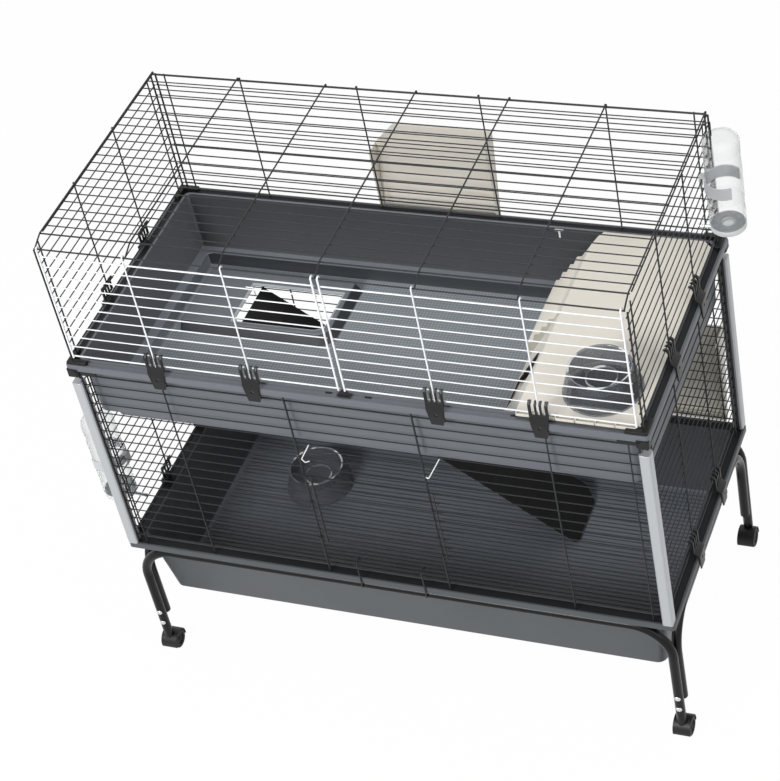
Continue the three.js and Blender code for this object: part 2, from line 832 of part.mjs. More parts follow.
function cornerConnector() {
  const bottom = postTop + gap;
  const skirtBottom = upperRimTop - rimDepth - gap;
  const top = upperRimTop - rimWall - gap;
  const collar = topPrism(postSection(postSize + collarWall * 2), bottom, skirtBottom);
  const neckStart = -postSize / 2;
  const neckX = halfLength - rimWall - gap - postCentreX;
  const neckY = halfWidth - rimWall - gap - postCentreY;
  const neck = topPrism([
    [neckStart, neckStart], [neckX, neckStart], [neckX, neckY - postCornerBevel],
    [neckX - postCornerBevel, neckY], [neckStart, neckY],
  ], bottom, top);
  const armBack = -postSize / 2 - connectorArmLength;
  const armTop = connectorArmBottom + connectorArmHeight;
  const armInner = grooveOffset;
  const armOuter = grooveOffset + connectorArmThickness;
  const arms = [
    block(armBack, neckStart + overrun, armInner, armOuter, connectorArmBottom, armTop),
    block(armInner, armOuter, armBack, neckStart + overrun, connectorArmBottom, armTop),
  ];
  const holeZ = upperRimTop - rimDepth - connectorHoleRadius * 2;
  const hole = solidFrom(roundBar(
    [neckStart + grooveDepth, 0, holeZ], [neckStart + grooveDepth, postSize + overrun, holeZ],
    connectorHoleRadius, smallRoundSides));
  return cut(join([collar, neck, ...arms]), [...postGrooves(bottom - overrun, top + overrun), hole]);
}

function addCorners() {
  for (const corner of corners) {
    const flip = (solid) => reflected(solid, corner.x, corner.y);
    const place = [corner.x * postCentreX, corner.y * postCentreY, 0];
    add(`corner_post_${corner.name}`, flip(cornerPost()), postMetal, place);
    add(`corner_connector_${corner.name}`, flip(cornerConnector()), clipPlastic, place);
  }
}

// Lower storey panels between the posts

const lowerRows = rowHeights(lowerRimTop + firstRowRise, upperRimTop - rimDepth - firstRowRise);
const lowerBottom = lowerRimTop + gap;
const lowerTop = upperRimTop - rimWall - gap;
const grooveInset = grooveDepth - gap;
const lowerHalfX = postCentreX - postSize / 2 + grooveInset - stoutRadius;
const lowerHalfY = postCentreY - postSize / 2 + grooveInset - stoutRadius;

function lowerLongPanel(hasDoorway) {
  const places = [lowerHalfX, lowerHalfX - endWireSpacing, farColumnX, frontColumnX];
  const reach = lowerHalfX + columnRadius;
  const columns = columnsAt(mirrored(places), lowerBottom, lowerTop);
  if (!hasDoorway) return wirePanel(rowsBetween(lowerRows, -reach, reach), columns);
  const isOpen = (z) => z > lowerDoorBottom && z < lowerDoorTop;
  const rows = rowsBetween(lowerRows, -reach, reach);
  const whole = rows.filter(({ z }) => !isOpen(z));
  const short = rows.filter(({ z }) => isOpen(z)).flatMap((row) => [
    { ...row, to: -frontColumnX + wireOverhang },
    { ...row, from: frontColumnX - wireOverhang },
  ]);
  const stout = columns.map((column) => (
    Math.abs(column.x) === frontColumnX ? { ...column, radius: stoutRadius } : column));
  return wirePanel([...whole, ...short], stout);
}

function addLowerPanels() {
  add('lower_panel_front', lowerLongPanel(true), darkWire, [0, -panelHalfWidth, 0]);
  add('lower_panel_back', lowerLongPanel(false), darkWire, [0, panelHalfWidth, 0], Math.PI);
  const places = [lowerHalfY, lowerHalfY - endWireSpacing, sideColumnY];
  const reach = lowerHalfY + columnRadius;
  const rows = rowsBetween(lowerRows, -reach, reach);
  const panel = wirePanel(rows, columnsAt(mirrored(places), lowerBottom, lowerTop));
  for (const side of sides) {
    add(`lower_panel_${side.name}`, panel, darkWire, [side.sign * panelHalfLength, 0, 0], side.turn);
  }
}

// Lower door: its rows end in open loops round the left column of the doorway

function addLowerDoor() {
  const hingeX = -frontColumnX;
  const liftedRows = lowerRows.map((z) => z + lowerDoorRowLift);
  const rowZs = liftedRows.filter((z) => z > lowerDoorBottom + lowerDoorRowLift && z < lowerDoorTop);
  const middleRow = Math.round((rowZs.length - 1) / 2);
  const rowY = -lowerDoorLoopRadius - stoutRadius + columnRadius;
  const columnY = rowY - layerSpacing;
  const width = lowerDoorEdge + frontColumnX;
  const straight = [];
  const looped = [];
  rowZs.forEach((z, i) => {
    const isLooped = i === 0 || i === rowZs.length - 1 || i === middleRow;
    if (isLooped) looped.push(loopedRow(z, rowY, width));
    else straight.push(straightWire([lowerDoorLoopRadius, rowY, z], [width, rowY, z], rowRadius, axisY));
  });
  const middle = frontColumnX;
  const columnXs = [middle - lowerDoorColumnX, middle, middle + lowerDoorColumnX];
  const columnWires = columnXs.map((x) => (
    straightWire([x, columnY, lowerDoorBottom], [x, columnY, lowerDoorTop], stoutRadius, axisY)));
  const door = layer([...straight, ...looped]).add(layer(columnWires));
  add('lower_door', door, darkWire, [hingeX, -panelHalfWidth - layerSpacing, 0]);
}

function loopedRow(z, rowY, width) {
  const back = -rowY;
  const corners = [[width, rowY, z], [rowY, rowY, z], [rowY, back, z], [-rowY, back, z]];
  return bentWire(corners, axisZ, rowRadius, -rowY - gap, 2);
}

// Upper storey panels, standing on the upper rim

const upperBottom = upperRimTop + gap;
const upperRows = rowHeights(upperRimTop + firstRowRise, roofRowZ - backRowMargin);
const doorRows = rowHeights(upperRimTop + firstRowRise, hingeZ - doorRowMargin);

function addUpperPanels() {
  const backReach = panelHalfLength - wireOverhang - gap;
  const backEnd = backReach - wireOverhang;
  const backPlaces = [backEnd, backEnd - endWireSpacing, upperBackFarColumnX, upperBackColumnX];
  const columnTop = roofRowZ - columnRadius - gap;
  const backColumns = columnsAt(mirrored(backPlaces), upperBottom, columnTop);
  const back = wirePanel(rowsBetween(upperRows, -backReach, backReach), backColumns);
  add('upper_panel_back', back, darkWire, [0, panelHalfWidth, 0], Math.PI);
  for (const side of sides) {
    const panel = upperSidePanel(side.sign, columnTop);
    add(`upper_panel_${side.name}`, panel, darkWire, [side.sign * panelHalfLength, 0, 0], side.turn);
  }
}

// In the panel's own frame its front end lies at x = -1 times the side's sign.
function upperSidePanel(sign, columnTop) {
  const end = panelHalfWidth - wireOverhang;
  const inner = end - endWireSpacing;
  const frontEnd = -sign;
  const reach = end + stoutRadius;
  const frontTop = hingeZ - sideTopMargin;
  const slopeShare = (roofEdgeBack - (end - inner)) / roofEdgeBack;
  const innerTop = roofRowZ - columnRadius - gap - roofEdgeDrop * slopeShare;
  const columns = columnsAt(mirrored([end, inner, sideColumnY]), upperBottom, columnTop).map((column) => {
    if (column.x === frontEnd * end) return { ...column, to: frontTop };
    if (column.x === frontEnd * inner) return { ...column, to: innerTop };
    return column;
  });
  const rows = rowsBetween(upperRows, -reach, reach).map((row) => {
    if (row.z < frontTop) return row;
    const short = inner - endWireSpacing;
    return frontEnd < 0 ? { ...row, from: -short } : { ...row, to: short };
  });
  return wirePanel(rows, columns);
}

// Roof: rows along X below, bent columns above them, and the doors' hinge wire along the front edge

function addRoof() {
  const backY = panelHalfWidth - wireOverhang;
  const frontY = -panelHalfWidth + roofEdgeBack;
  const rowCount = Math.round((backY - frontY) / wirePitch);
  const rows = [];
  for (let i = 0; i <= rowCount; i += 1) {
    const y = frontY + wireOverhang + (backY - frontY - wireOverhang) * i / rowCount;
    const isEnd = i === 0 || i === rowCount;
    const radius = isEnd ? columnRadius : rowRadius;
    rows.push(straightWire([-panelHalfLength, y, roofRowZ], [panelHalfLength, y, roofRowZ], radius, axisZ));
  }
  const hinge = straightWire(
    [-panelHalfLength, hingeY, hingeZ], [panelHalfLength, hingeY, hingeZ], columnRadius, axisZ);
  const bays = [-3, -2, -1, 0, 1, 2, 3];
  const columns = bays.map((bay) => {
    const x = bay * roofBayWidth;
    const isEnd = bay === bays[0] || bay === bays[bays.length - 1];
    const corners = [[x, panelHalfWidth, roofColumnZ], [x, frontY, roofColumnZ], [x, hingeY, hingeZ]];
    return bentWire(corners, axisX, isEnd ? stoutRadius : columnRadius, rimCornerRadius, 1);
  });
  add('roof_panel', join([layer(columns), layer(rows), solidFrom(hinge)]), darkWire);
}

// Doors: the columns end in open hooks over the hinge wire, beside the roof's columns

function addDoor(name, columnXs) {
  const middleX = (columnXs[0] + columnXs[columnXs.length - 1]) / 2;
  const bottom = doorRows[0] - wireOverhang;
  const first = columnXs[0] - middleX;
  const last = -first;
  const rowWires = doorRows.map((z, i) => {
    const isEnd = i === 0 || i === doorRows.length - 1;
    const radius = isEnd ? columnRadius : rowRadius;
    const height = z - hingeZ;
    return straightWire(
      [first - wireOverhang, doorRowY - hingeY, height], [last + wireOverhang, doorRowY - hingeY, height],
      radius, axisY);
  });
  const columns = columnXs.map((x) => {
    const isEnd = x === columnXs[0] || x === columnXs[columnXs.length - 1];
    return hookedColumn(x - middleX, bottom - hingeZ, isEnd ? stoutRadius : columnRadius);
  });
  add(name, layer(rowWires).add(layer(columns)), whiteWire, [middleX, hingeY, hingeZ]);
}

// The wire runs up at the front of the hinge wire, over it and down behind it.
function hookedColumn(x, bottom, radius) {
  const stations = [new THREE.Vector3(x, -hookBendRadius, bottom)];
  for (let step = 0; step <= bendSteps; step += 1) {
    const angle = THREE.MathUtils.degToRad(hookSweep * step / bendSteps);
    stations.push(new THREE.Vector3(x, -hookBendRadius * Math.cos(angle), hookBendRadius * Math.sin(angle)));
  }
  return extrudeAlong(new FlatPath(stations, axisX), roundSection(radius, wireSides));
}

function doorColumns() {
  const end = roofBayWidth * 3 - hookSideStep;
  const far = roofBayWidth * 2 + hookSideStep;
  const near = roofBayWidth - hookSideStep;
  return { end, far, near };
}

function addDoors() {
  const { end, far, near } = doorColumns();
  addDoor('door_left', [-end, -far, -near, -doorSplit]);
  addDoor('door_right', [doorSplit, near, far, end]);
}

// Comb clips: four crooked prongs turn on a row of the panel, and a catch reaches under the rim's skirt.
// The clip's own frame has its origin on that row, the panel behind it and -Y outward.

function clipProfile(standoff) {
  const front = -clipPlateBack - clipThickness;
  const back = -clipPlateBack;
  const lowBack = -standoff - gap;
  const lowFront = lowBack - clipThickness;
  const drop = clipRowRise + rimDepth;
  const catchReach = standoff - rimWall;
  const catchTop = -Math.sqrt(standoff ** 2 + drop ** 2 - catchReach ** 2) - gap;
  const crook = [];
  const turns = 2;
  const eyeOuter = clipEyeRadius + clipEyeWall;
  for (let step = 0; step <= turns; step += 1) {
    const angle = THREE.MathUtils.degToRad(clipCrookSweep * step / turns);
    const radius = -front + (eyeOuter + front) * step / turns;
    crook.push([-radius * Math.cos(angle), radius * Math.sin(angle)]);
  }
  for (let step = turns; step >= 0; step -= 1) {
    const angle = THREE.MathUtils.degToRad(clipCrookSweep * step / turns);
    crook.push([-clipEyeRadius * Math.cos(angle), clipEyeRadius * Math.sin(angle)]);
  }
  return [
    ...crook,
    [back, -clipPlateBack],
    [back, -clipStepTop],
    [lowBack, -clipStepBottom],
    [lowBack, catchTop],
    [-catchReach, catchTop],
    [-catchReach, catchTop - clipCatchThickness],
    [lowBack, catchTop - clipCatchThickness],
    [lowBack, -clipLength],
    [lowFront, -clipLength],
    [lowFront, -clipStepBottom],
    [front, -clipStepTop],
  ];
}

function combClip(standoff) {
  const half = clipWidth / 2;
  const footHalf = clipFootWidth / 2;
  const profile = clipProfile(standoff).reverse();
  const body = sidePrism(profile, -half, half);
  const front = frontPrism([
    [-half, clipTopRise + overrun], [-half, -clipStepTop], [-footHalf, -clipLength],
    [footHalf, -clipLength], [half, -clipStepTop], [half, clipTopRise + overrun],
  ], -standoff - overrun, overrun);
  const slotTop = clipTopRise + overrun;
  const slots = [
    { x: -clipSlotCentre, width: clipSlotWidth },
    { x: 0, width: clipMidSlotWidth },
    { x: clipSlotCentre, width: clipSlotWidth },
  ].map(({ x, width }) => (
    block(x - width / 2, x + width / 2, -standoff, overrun, -clipSlotDepth, slotTop)));
  const hole = solidFrom(roundBar(
    [0, -standoff - overrun, -clipHoleDrop], [0, 0, -clipHoleDrop], clipHoleRadius, holeSides));
  const nub = block(
    footHalf - clipNubWidth, half - clipNubWidth / 2, -standoff - gap - clipThickness, -standoff - gap,
    -clipLength + clipNubHeight, -clipLength + clipNubHeight * 2);
  return cut(body.intersect(front), [...slots, hole]).add(nub);
}

function addClips() {
  const { far, near } = doorColumns();
  const frontClip = combClip(halfWidth + doorRowY);
  [-far, -near, near, far].forEach((x, i) => {
    add(`front_clip_${i + 1}`, frontClip, clipPlastic, [x, doorRowY, upperRimTop + clipRowRise]);
  });
  const sideClip = combClip(halfLength - panelHalfLength);
  const storeys = [{ name: 'upper', rim: upperRimTop }, { name: 'lower', rim: lowerRimTop }];
  for (const storey of storeys) {
    for (const side of sides) {
      for (const end of [{ name: 'front', y: -sideColumnY }, { name: 'back', y: sideColumnY }]) {
        const name = `${storey.name}_clip_${side.name}_${end.name}`;
        const place = [side.sign * panelHalfLength, end.y, storey.rim + clipRowRise];
        add(name, sideClip, clipPlastic, place, side.turn);
      }
    }
  }
}

// House: a roof plate on thin walls, with a stair and a doorway on its left side

function addHouse() {
  const bottom = upperFloorTop + gap;
  const onLedge = ledgeTop + gap;
  const plateBottom = houseRoofTop - houseRoofThickness;
  const sillTop = upperFloorTop + houseSillHeight;
  const sillRight = houseSillLeft + houseSillWidth;
  const cutCorner = houseCornerCut;
  const plate = topPrism([
    [houseRoofLeft, houseRoofFront], [houseRoofRight, houseRoofFront],
    [houseRoofRight, houseRoofBack - cutCorner], [houseRoofRight - cutCorner, houseRoofBack],
    [houseRoofLeft + cutCorner, houseRoofBack], [houseRoofLeft, houseRoofBack - cutCorner],
  ], plateBottom, houseRoofTop);
  const sill = block(houseSillLeft, sillRight, houseBodyFront, houseBodyBack, bottom, sillTop);
  const slopeInner = houseRoofLeft + houseWall;
  const slope = frontPrism([
    [houseSillLeft, bottom], [houseSillLeft + houseWall, bottom], [slopeInner, plateBottom],
    [slopeInner, houseRoofTop - gap], [houseRoofLeft, houseRoofTop - gap], [houseSillLeft, sillTop],
  ], houseBodyFront, houseDoorFront);
  const gable = [
    [houseSillLeft, bottom], [houseFootRight, bottom],
    [houseFootRight, onLedge], [houseWallRight, onLedge],
    [houseWallRight, plateBottom + gap], [houseRoofLeft, plateBottom + gap], [houseSillLeft, sillTop],
  ];
  const frontGable = frontPrism(gable, houseBodyFront - houseWall, houseBodyFront);
  const backGable = frontPrism(gable, houseBodyBack, houseBodyBack + houseWall);
  const rightWall = block(
    houseWallRight - houseWall, houseWallRight, houseBodyFront, houseBodyBack, onLedge, plateBottom + gap);
  const stair = frontPrism(stairOutline(bottom, plateBottom), houseStairFront, houseBodyBack);
  const bowlHole = solidFrom(roundBar(
    [bowlHoleX, bowlHoleY, plateBottom - overrun], [bowlHoleX, bowlHoleY, houseRoofTop + overrun],
    bowlHoleRadius, roundSides));
  const lip = frontLip(plateBottom);
  const shell = join([plate, sill, slope, frontGable, backGable, rightWall, stair, ...lip]);
  add('house', cut(shell, [bowlHole]), beigePlastic);
}

// A stepped strip of the wall's thickness, from the sill up into the plate.
function stairOutline(bottom, plateBottom) {
  const rise = (houseRoofTop - bottom) / houseStepCount;
  const tread = (houseRoofLeft - houseSillLeft) / (houseStepCount - 1);
  const outer = [];
  const inner = [];
  for (let step = 0; step < houseStepCount; step += 1) {
    const x = houseSillLeft + tread * step;
    const foot = bottom + rise * step;
    const innerFoot = step === 0 ? foot : foot - houseWall;
    const isLast = step === houseStepCount - 1;
    const outerTop = isLast ? plateBottom + gap : foot + rise;
    const innerTop = isLast ? plateBottom + gap : foot + rise - houseWall;
    outer.push([x, foot], [x, outerTop]);
    inner.push([x + houseWall, innerFoot], [x + houseWall, innerTop]);
  }
  return [...outer, ...inner.reverse()].reverse();
}

// Short ribs between the plate's front edge and the front wall.
function frontLip(plateBottom) {
  const ribs = [];
  const spacing = (houseFootRight - houseRoofLeft - houseWall) / houseRibCount;
  for (let i = 0; i <= houseRibCount; i += 1) {
    const x = houseRoofLeft + spacing * i;
    ribs.push(block(
      x, x + houseWall, houseRoofFront + houseWall, houseBodyFront,
      plateBottom - houseWall, plateBottom + gap));
  }
  return ribs;
}

// Bowls: one hangs by its flange in the house's roof, one stands on the lower floor

function addBowls() {
  const flangeBottom = houseRoofTop + gap;
  const outerTop = bowlHoleRadius - bowlPlay;
  const hanging = turned([
    [0, -bowlDepth], [bowlFloorRadius, -bowlDepth], [outerTop, -bowlWall], [outerTop, 0],
    [bowlRimRadius, 0], [bowlRimRadius, bowlWall], [outerTop - bowlWall, bowlWall],
    [outerTop - bowlWall, 0], [bowlFloorRadius - bowlWall, bowlWall - bowlDepth], [0, bowlWall - bowlDepth],
  ], roundSides);
  add('bowl_house', hanging, clearPlastic, [bowlHoleX, bowlHoleY, flangeBottom]);
  const dish = floorBowlHeight - floorBowlDishDepth;
  const standing = turned([
    [0, 0], [floorBowlRadius, 0], [floorBowlRadius, bowlWall], [floorBowlRimRadius, floorBowlHeight],
    [floorBowlRimRadius - bowlWall, floorBowlHeight],
    [floorBowlRimRadius - floorBowlDishInset, dish], [0, dish],
  ], roundSides);
  add('bowl_floor', standing, clearPlastic, [floorBowlX, floorBowlY, lowerFloorTop + gap]);
}

// Hay racks: a leaning trough behind the back panel, open on top and towards the wires

function hayRack(rowZ) {
  const top = rowZ + columnRadius + gap + rackHookThickness;
  const bottom = top - rackHeight;
  const half = rackWidth / 2;
  const front = halfWidth + rackStandoff;
  const back = front + rackDepth;
  const foot = front + rackFootDepth;
  const body = sidePrism([[front, bottom], [foot, bottom], [back, top], [front, top]], -half, half);
  const lean = (back - foot) / rackHeight;
  const insideFoot = foot - rackWall + lean * rackWall;
  const insideBack = back - rackWall + lean * overrun;
  const inside = sidePrism([
    [front - overrun, bottom + rackWall], [insideFoot, bottom + rackWall],
    [insideBack, top + overrun], [front - overrun, top + overrun],
  ], -half + rackWall, half - rackWall);
  const corner = frontPrism([
    [-half - overrun, top - rackCornerCut - overrun], [-half + rackCornerCut + overrun, top + overrun],
    [-half - overrun, top + overrun],
  ], front - overrun, back + overrun);
  const sill = block(-half, half, front, front + rackWall, bottom, bottom + rackSillHeight);
  const inner = panelHalfWidth - columnRadius - gap;
  const hookBack = back - rackWall / 2;
  const hookBottom = top - rackHookThickness;
  const hookXs = [-half + rackCornerCut + rackHookMargin, half - rackHookMargin - rackHookWidth];
  const hooks = hookXs.flatMap((x) => [
    block(x, x + rackHookWidth, inner - rackHookThickness, hookBack, hookBottom, top),
    block(x, x + rackHookWidth, inner - rackHookThickness, inner, top - rackHookDrop, top),
  ]);
  return join([cut(body, [inside, corner]), sill, ...hooks]);
}

function addHayRacks() {
  const upperRack = hayRack(upperRimTop + firstRowRise + upperRackRow * wirePitch);
  add('hay_rack_upper', upperRack, beigePlastic, [upperRackX, 0, 0]);
  const lowerRack = hayRack(lowerRimTop + firstRowRise + lowerRackRow * wirePitch);
  add('hay_rack_lower', lowerRack, beigePlastic, [lowerRackX, 0, 0]);
}

// Water bottles: each stands upside down in a cap with a spout and leans in a cradle hooked on a row.
// The bottle's own frame has its origin on its axis at the height where the spout enters the cage.

function addBottle(storey, sign, y, spoutZ) {
  const place = [sign * bottleAxisX, y, spoutZ];
  const turn = sign > 0 ? 0 : Math.PI;
  const capBottom = spoutRadius + gap;
  const bottleBottom = capBottom + capHeight;
  const neckBottom = bottleBottom - bottleNeckLength;
  const top = bottleBottom + bottleLength;
  const inner = bottleRadius - bottleWall;
  const neckInner = bottleNeckRadius - bottleWall;
  const bottle = turned([
    [neckInner, neckBottom], [bottleNeckRadius, neckBottom], [bottleNeckRadius, bottleBottom + gap],
    [bottleRadius, bottleBottom + bottleShoulder], [bottleRadius, top - bottleShoulder],
    [bottleRadius - bottleShoulder, top], [0, top], [0, top - bottleWall],
    [inner - bottleShoulder, top - bottleWall], [inner, top - bottleShoulder],
    [inner, bottleBottom + bottleShoulder], [neckInner, bottleBottom + bottleWall],
  ], roundSides);
  add(`bottle_${storey}`, bottle, clearPlastic, place, turn);
  const cup = turned([
    [0, capBottom], [capRadius, capBottom], [capRadius, bottleBottom],
    [bottleNeckRadius + gap, bottleBottom], [bottleNeckRadius + gap, neckBottom - gap], [0, neckBottom - gap],
  ], roundSides);
  const spoutStart = [0, 0, capBottom];
  const spoutEnd = [-spoutReach, 0, -spoutDrop + spoutRadius];
  const spout = solidFrom(roundBar(spoutStart, spoutEnd, spoutRadius, smallRoundSides));
  add(`bottle_cap_${storey}`, cup.add(spout), greyFitting, place, turn);
  add(`bottle_cradle_${storey}`, bottleCradle(), greyFitting, place, turn);
}

// Half a ring round the bottle, with a hook over the row behind it.
function bottleCradle() {
  const inner = bottleRadius + gap;
  const outer = inner + cradleWall;
  const low = cradleRise - cradleHeight / 2;
  const high = cradleRise + cradleHeight / 2;
  const ring = turned([[inner, low], [outer, low], [outer, high], [inner, high]], roundSides);
  const past = outer + overrun;
  const openHalf = block(0, past, -past, past, low - overrun, high + overrun);
  const rowX = panelHalfLength - bottleAxisX;
  const half = cradleHookWidth / 2;
  const rowInner = rowX - columnRadius - gap;
  const over = block(rowInner - cradleWall, -inner - gap, -half, half, high - cradleWall, high);
  const lip = block(rowInner - cradleWall, rowInner, -half, half, low, high);
  return join([ring.subtract(openHalf), over, lip]);
}

function addBottles() {
  addBottle('upper', 1, upperBottleY, upperRimTop + spoutRise);
  addBottle('lower', -1, lowerBottleY, lowerRimTop + spoutRise);
}

// Wire hooks over the lower rim and the foot between the doors

function addRimFittings() {
  const inner = -panelHalfWidth + columnRadius + rimHookRadius + rimHookPlay;
  const outer = -halfWidth - rimHookRadius - rimHookPlay;
  const rowZ = lowerRimTop + clipRowRise;
  const top = rowZ + rowRadius + rimHookRadius + gap;
  rimHookXs.forEach((x, i) => {
    const corners = [
      [x, inner, rowZ - rimHookTail], [x, inner, top], [x, outer, top], [x, outer, rimHookBottom],
    ];
    const hook = bentWire(corners, axisX, rimHookRadius, rimHookBendRadius, 2);
    add(`rim_hook_${i + 1}`, solidFrom(hook), darkWire);
  });
  const base = upperRimTop + gap;
  const half = middleFootWidth / 2;
  const foot = frontPrism([
    [-half, base], [half, base], [0, base + middleFootHeight],
  ], -panelHalfWidth - middleFootDepth / 2, -panelHalfWidth + middleFootDepth / 2);
  add('middle_foot', foot, clipPlastic);
}

addStand();
addCasters();
add('lower_tray', lowerTray(), lowerTrayPlastic);
add('upper_tray', upperTray(), upperTrayPlastic);
addRamp();
addCorners();
addLowerPanels();
addLowerDoor();
addUpperPanels();
addRoof();
addDoors();
addClips();
addHouse();
addBowls();
addHayRacks();
addBottles();
addRimFittings();

// The racks reach further back than the rim hooks reach forward, so the trays stand a little forward.
const frontReach = halfWidth + rimHookPlay + rimHookRadius * 2;
const backReach = halfWidth + rackStandoff + rackDepth;
group.position.y = (frontReach - backReach) / 2;

export default group;
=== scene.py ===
import math
import bmesh
import bpy
from mathutils import Matrix, Vector


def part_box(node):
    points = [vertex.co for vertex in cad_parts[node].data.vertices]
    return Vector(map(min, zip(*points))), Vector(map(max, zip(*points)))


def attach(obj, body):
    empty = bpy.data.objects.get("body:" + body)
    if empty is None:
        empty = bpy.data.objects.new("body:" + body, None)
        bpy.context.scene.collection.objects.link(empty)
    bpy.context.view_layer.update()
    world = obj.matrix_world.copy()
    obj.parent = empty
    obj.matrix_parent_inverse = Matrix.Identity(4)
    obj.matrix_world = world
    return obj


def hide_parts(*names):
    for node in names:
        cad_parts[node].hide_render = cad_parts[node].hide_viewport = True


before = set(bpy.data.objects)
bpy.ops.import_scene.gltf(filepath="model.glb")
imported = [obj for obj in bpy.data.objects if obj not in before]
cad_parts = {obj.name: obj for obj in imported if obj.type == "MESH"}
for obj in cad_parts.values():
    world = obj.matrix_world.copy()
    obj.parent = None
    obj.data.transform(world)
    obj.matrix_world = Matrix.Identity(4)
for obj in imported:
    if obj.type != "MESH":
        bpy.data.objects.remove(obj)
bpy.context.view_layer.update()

# Camera: a long lens high on the right of the doors, turned a little on its side, as the photograph was
# taken. Sizes in every section are millimetres about the trays' middle, and to_frame turns them to metres.
mm = 0.001
tray_low, tray_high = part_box("lower_tray")
tray_middle_y = (tray_low[1] + tray_high[1]) / 2
to_frame = Matrix.Translation((0, tray_middle_y, 0)) @ Matrix.Scale(mm, 4)
scene = bpy.context.scene


def add_object(name, data):
    added = bpy.data.objects.new(name, data)
    scene.collection.objects.link(added)
    return added


camera_place = Vector((1662.2, -3080.0, 3702.4))
camera_turn = Vector((2.3005, 0.3216, -0.3791))
focal_pixels = 2333.1
picture_width = 780
sensor_mm = 36
sight_metres = 60
camera_data = bpy.data.cameras.new("camera")
camera_data.sensor_fit = "HORIZONTAL"
camera_data.sensor_width = sensor_mm
camera_data.lens = sensor_mm * focal_pixels / picture_width
camera_data.clip_end = sight_metres
camera = add_object("camera", camera_data)
world_to_view = Matrix.Rotation(camera_turn.length, 3, camera_turn)
view_to_world = world_to_view.transposed() @ Matrix.Diagonal((1, -1, -1))
camera.matrix_world = Matrix.Translation(to_frame @ camera_place) @ view_to_world.to_4x4()
scene.camera = camera
scene.view_settings.view_transform = "Standard"


# Floor and light: a white studio floor that keeps the shadow, and three wide soft lamps high above it.
# Their sum shows a colour about as it is written.
def linear(hex_colour):
    """An sRGB hex colour as a linear one."""
    parts = [int(hex_colour[i:i + 2], 16) / 255 for i in (1, 3, 5)]
    return [p / 12.92 if p <= 0.04045 else ((p + 0.055) / 1.055) ** 2.4 for p in parts] + [1]


def empty_tree(owner):
    """The cleared shader tree of a world or a material."""
    owner.use_nodes = True
    owner.node_tree.nodes.clear()
    return owner.node_tree


def add_node(tree, kind, inputs=None, **settings):
    """Adds one shader node. An input that is a socket is linked, and any other is a value."""
    node = tree.nodes.new("ShaderNode" + kind)
    for name, value in settings.items():
        setattr(node, name, value)
    for name, value in (inputs or {}).items():
        if isinstance(value, bpy.types.NodeSocket):
            tree.links.new(value, node.inputs[name])
        else:
            node.inputs[name].default_value = value
    return node


def seen_directly(tree):
    """1 for what the eye, a gloss or clear plastic sees, and 0 for light that only bounces."""
    path = add_node(tree, "LightPath").outputs
    glossy = add_node(tree, "Math", {0: path["Is Camera Ray"], 1: path["Is Glossy Ray"]}, operation="MAXIMUM")
    both = add_node(tree, "Math", {0: glossy.outputs[0], 1: path["Is Transmission Ray"]}, operation="MAXIMUM")
    return both.outputs[0]


white = (1, 1, 1, 1)
sky_light = 0.304
scene.world = bpy.data.worlds.new("studio")
studio = empty_tree(scene.world)
sky_strength = add_node(studio, "Mix", {0: seen_directly(studio), 2: sky_light, 3: 1.0})
sky = add_node(studio, "Background", {"Color": white, "Strength": sky_strength.outputs[0]})
add_node(studio, "OutputWorld", {"Surface": sky.outputs[0]})

glow_share = 0.98
floor_paint = bpy.data.materials.new("white_studio_paper")
paper = empty_tree(floor_paint)
paper_glow = add_node(paper, "Emission", {"Color": white, "Strength": 1})
paper_body = add_node(paper, "BsdfDiffuse", {"Color": linear("#f4f4f4")})
paper_share = add_node(paper, "Math", {0: seen_directly(paper), 1: glow_share}, operation="MULTIPLY")
paper_mix = add_node(paper, "MixShader", {
    0: paper_share.outputs[0], 1: paper_body.outputs[0], 2: paper_glow.outputs[0]})
add_node(paper, "OutputMaterial", {"Surface": paper_mix.outputs[0]})
floor_half = 12
floor_shape = bmesh.new()
bmesh.ops.create_grid(floor_shape, x_segments=1, y_segments=1, size=floor_half)
floor_mesh = bpy.data.meshes.new("studio_floor")
floor_shape.to_mesh(floor_mesh)
floor_shape.free()
floor_mesh.materials.append(floor_paint)
add_object("studio_floor", floor_mesh)

lamps = {
    "key_lamp": {"place": (-1.2, -4.4, 3.4), "size": 1.7, "power": 230},
    "fill_lamp": {"place": (3.6, -1.6, 3.0), "size": 3.0, "power": 40},
    "top_lamp": {"place": (0.3, 0.8, 4.6), "size": 3.4, "power": 55},
}
lamp_target = Vector((0, 0, 0.6))
for name, lamp in lamps.items():
    lamp_data = bpy.data.lights.new(name, "AREA")
    lamp_data.size = lamp["size"]
    lamp_data.energy = lamp["power"]
    aim = (lamp_target - Vector(lamp["place"])).to_track_quat("-Z", "Y")
    add_object(name, lamp_data).matrix_world = Matrix.Translation(lamp["place"]) @ aim.to_matrix().to_4x4()


# Stand: round steel tube bent to long and short U shapes, coated with glossy black enamel that levels to a
# faint orange peel. The short ones stand between the legs of the long ones and are bolted to them.
def new_material(name, colour, roughness, metallic=0.0, ior=1.5, gloss=0.5):
    """A finish with its plain values on the shader's own sockets. Returns the material, tree and shader."""
    material = bpy.data.materials.new(name)
    tree = empty_tree(material)
    shader = add_node(tree, "BsdfPrincipled", {
        "Base Color": linear(colour), "Roughness": roughness, "Metallic": metallic, "IOR": ior,
        "Specular IOR Level": gloss})
    add_node(tree, "OutputMaterial", {"Surface": shader.outputs[0]})
    return material, tree, shader


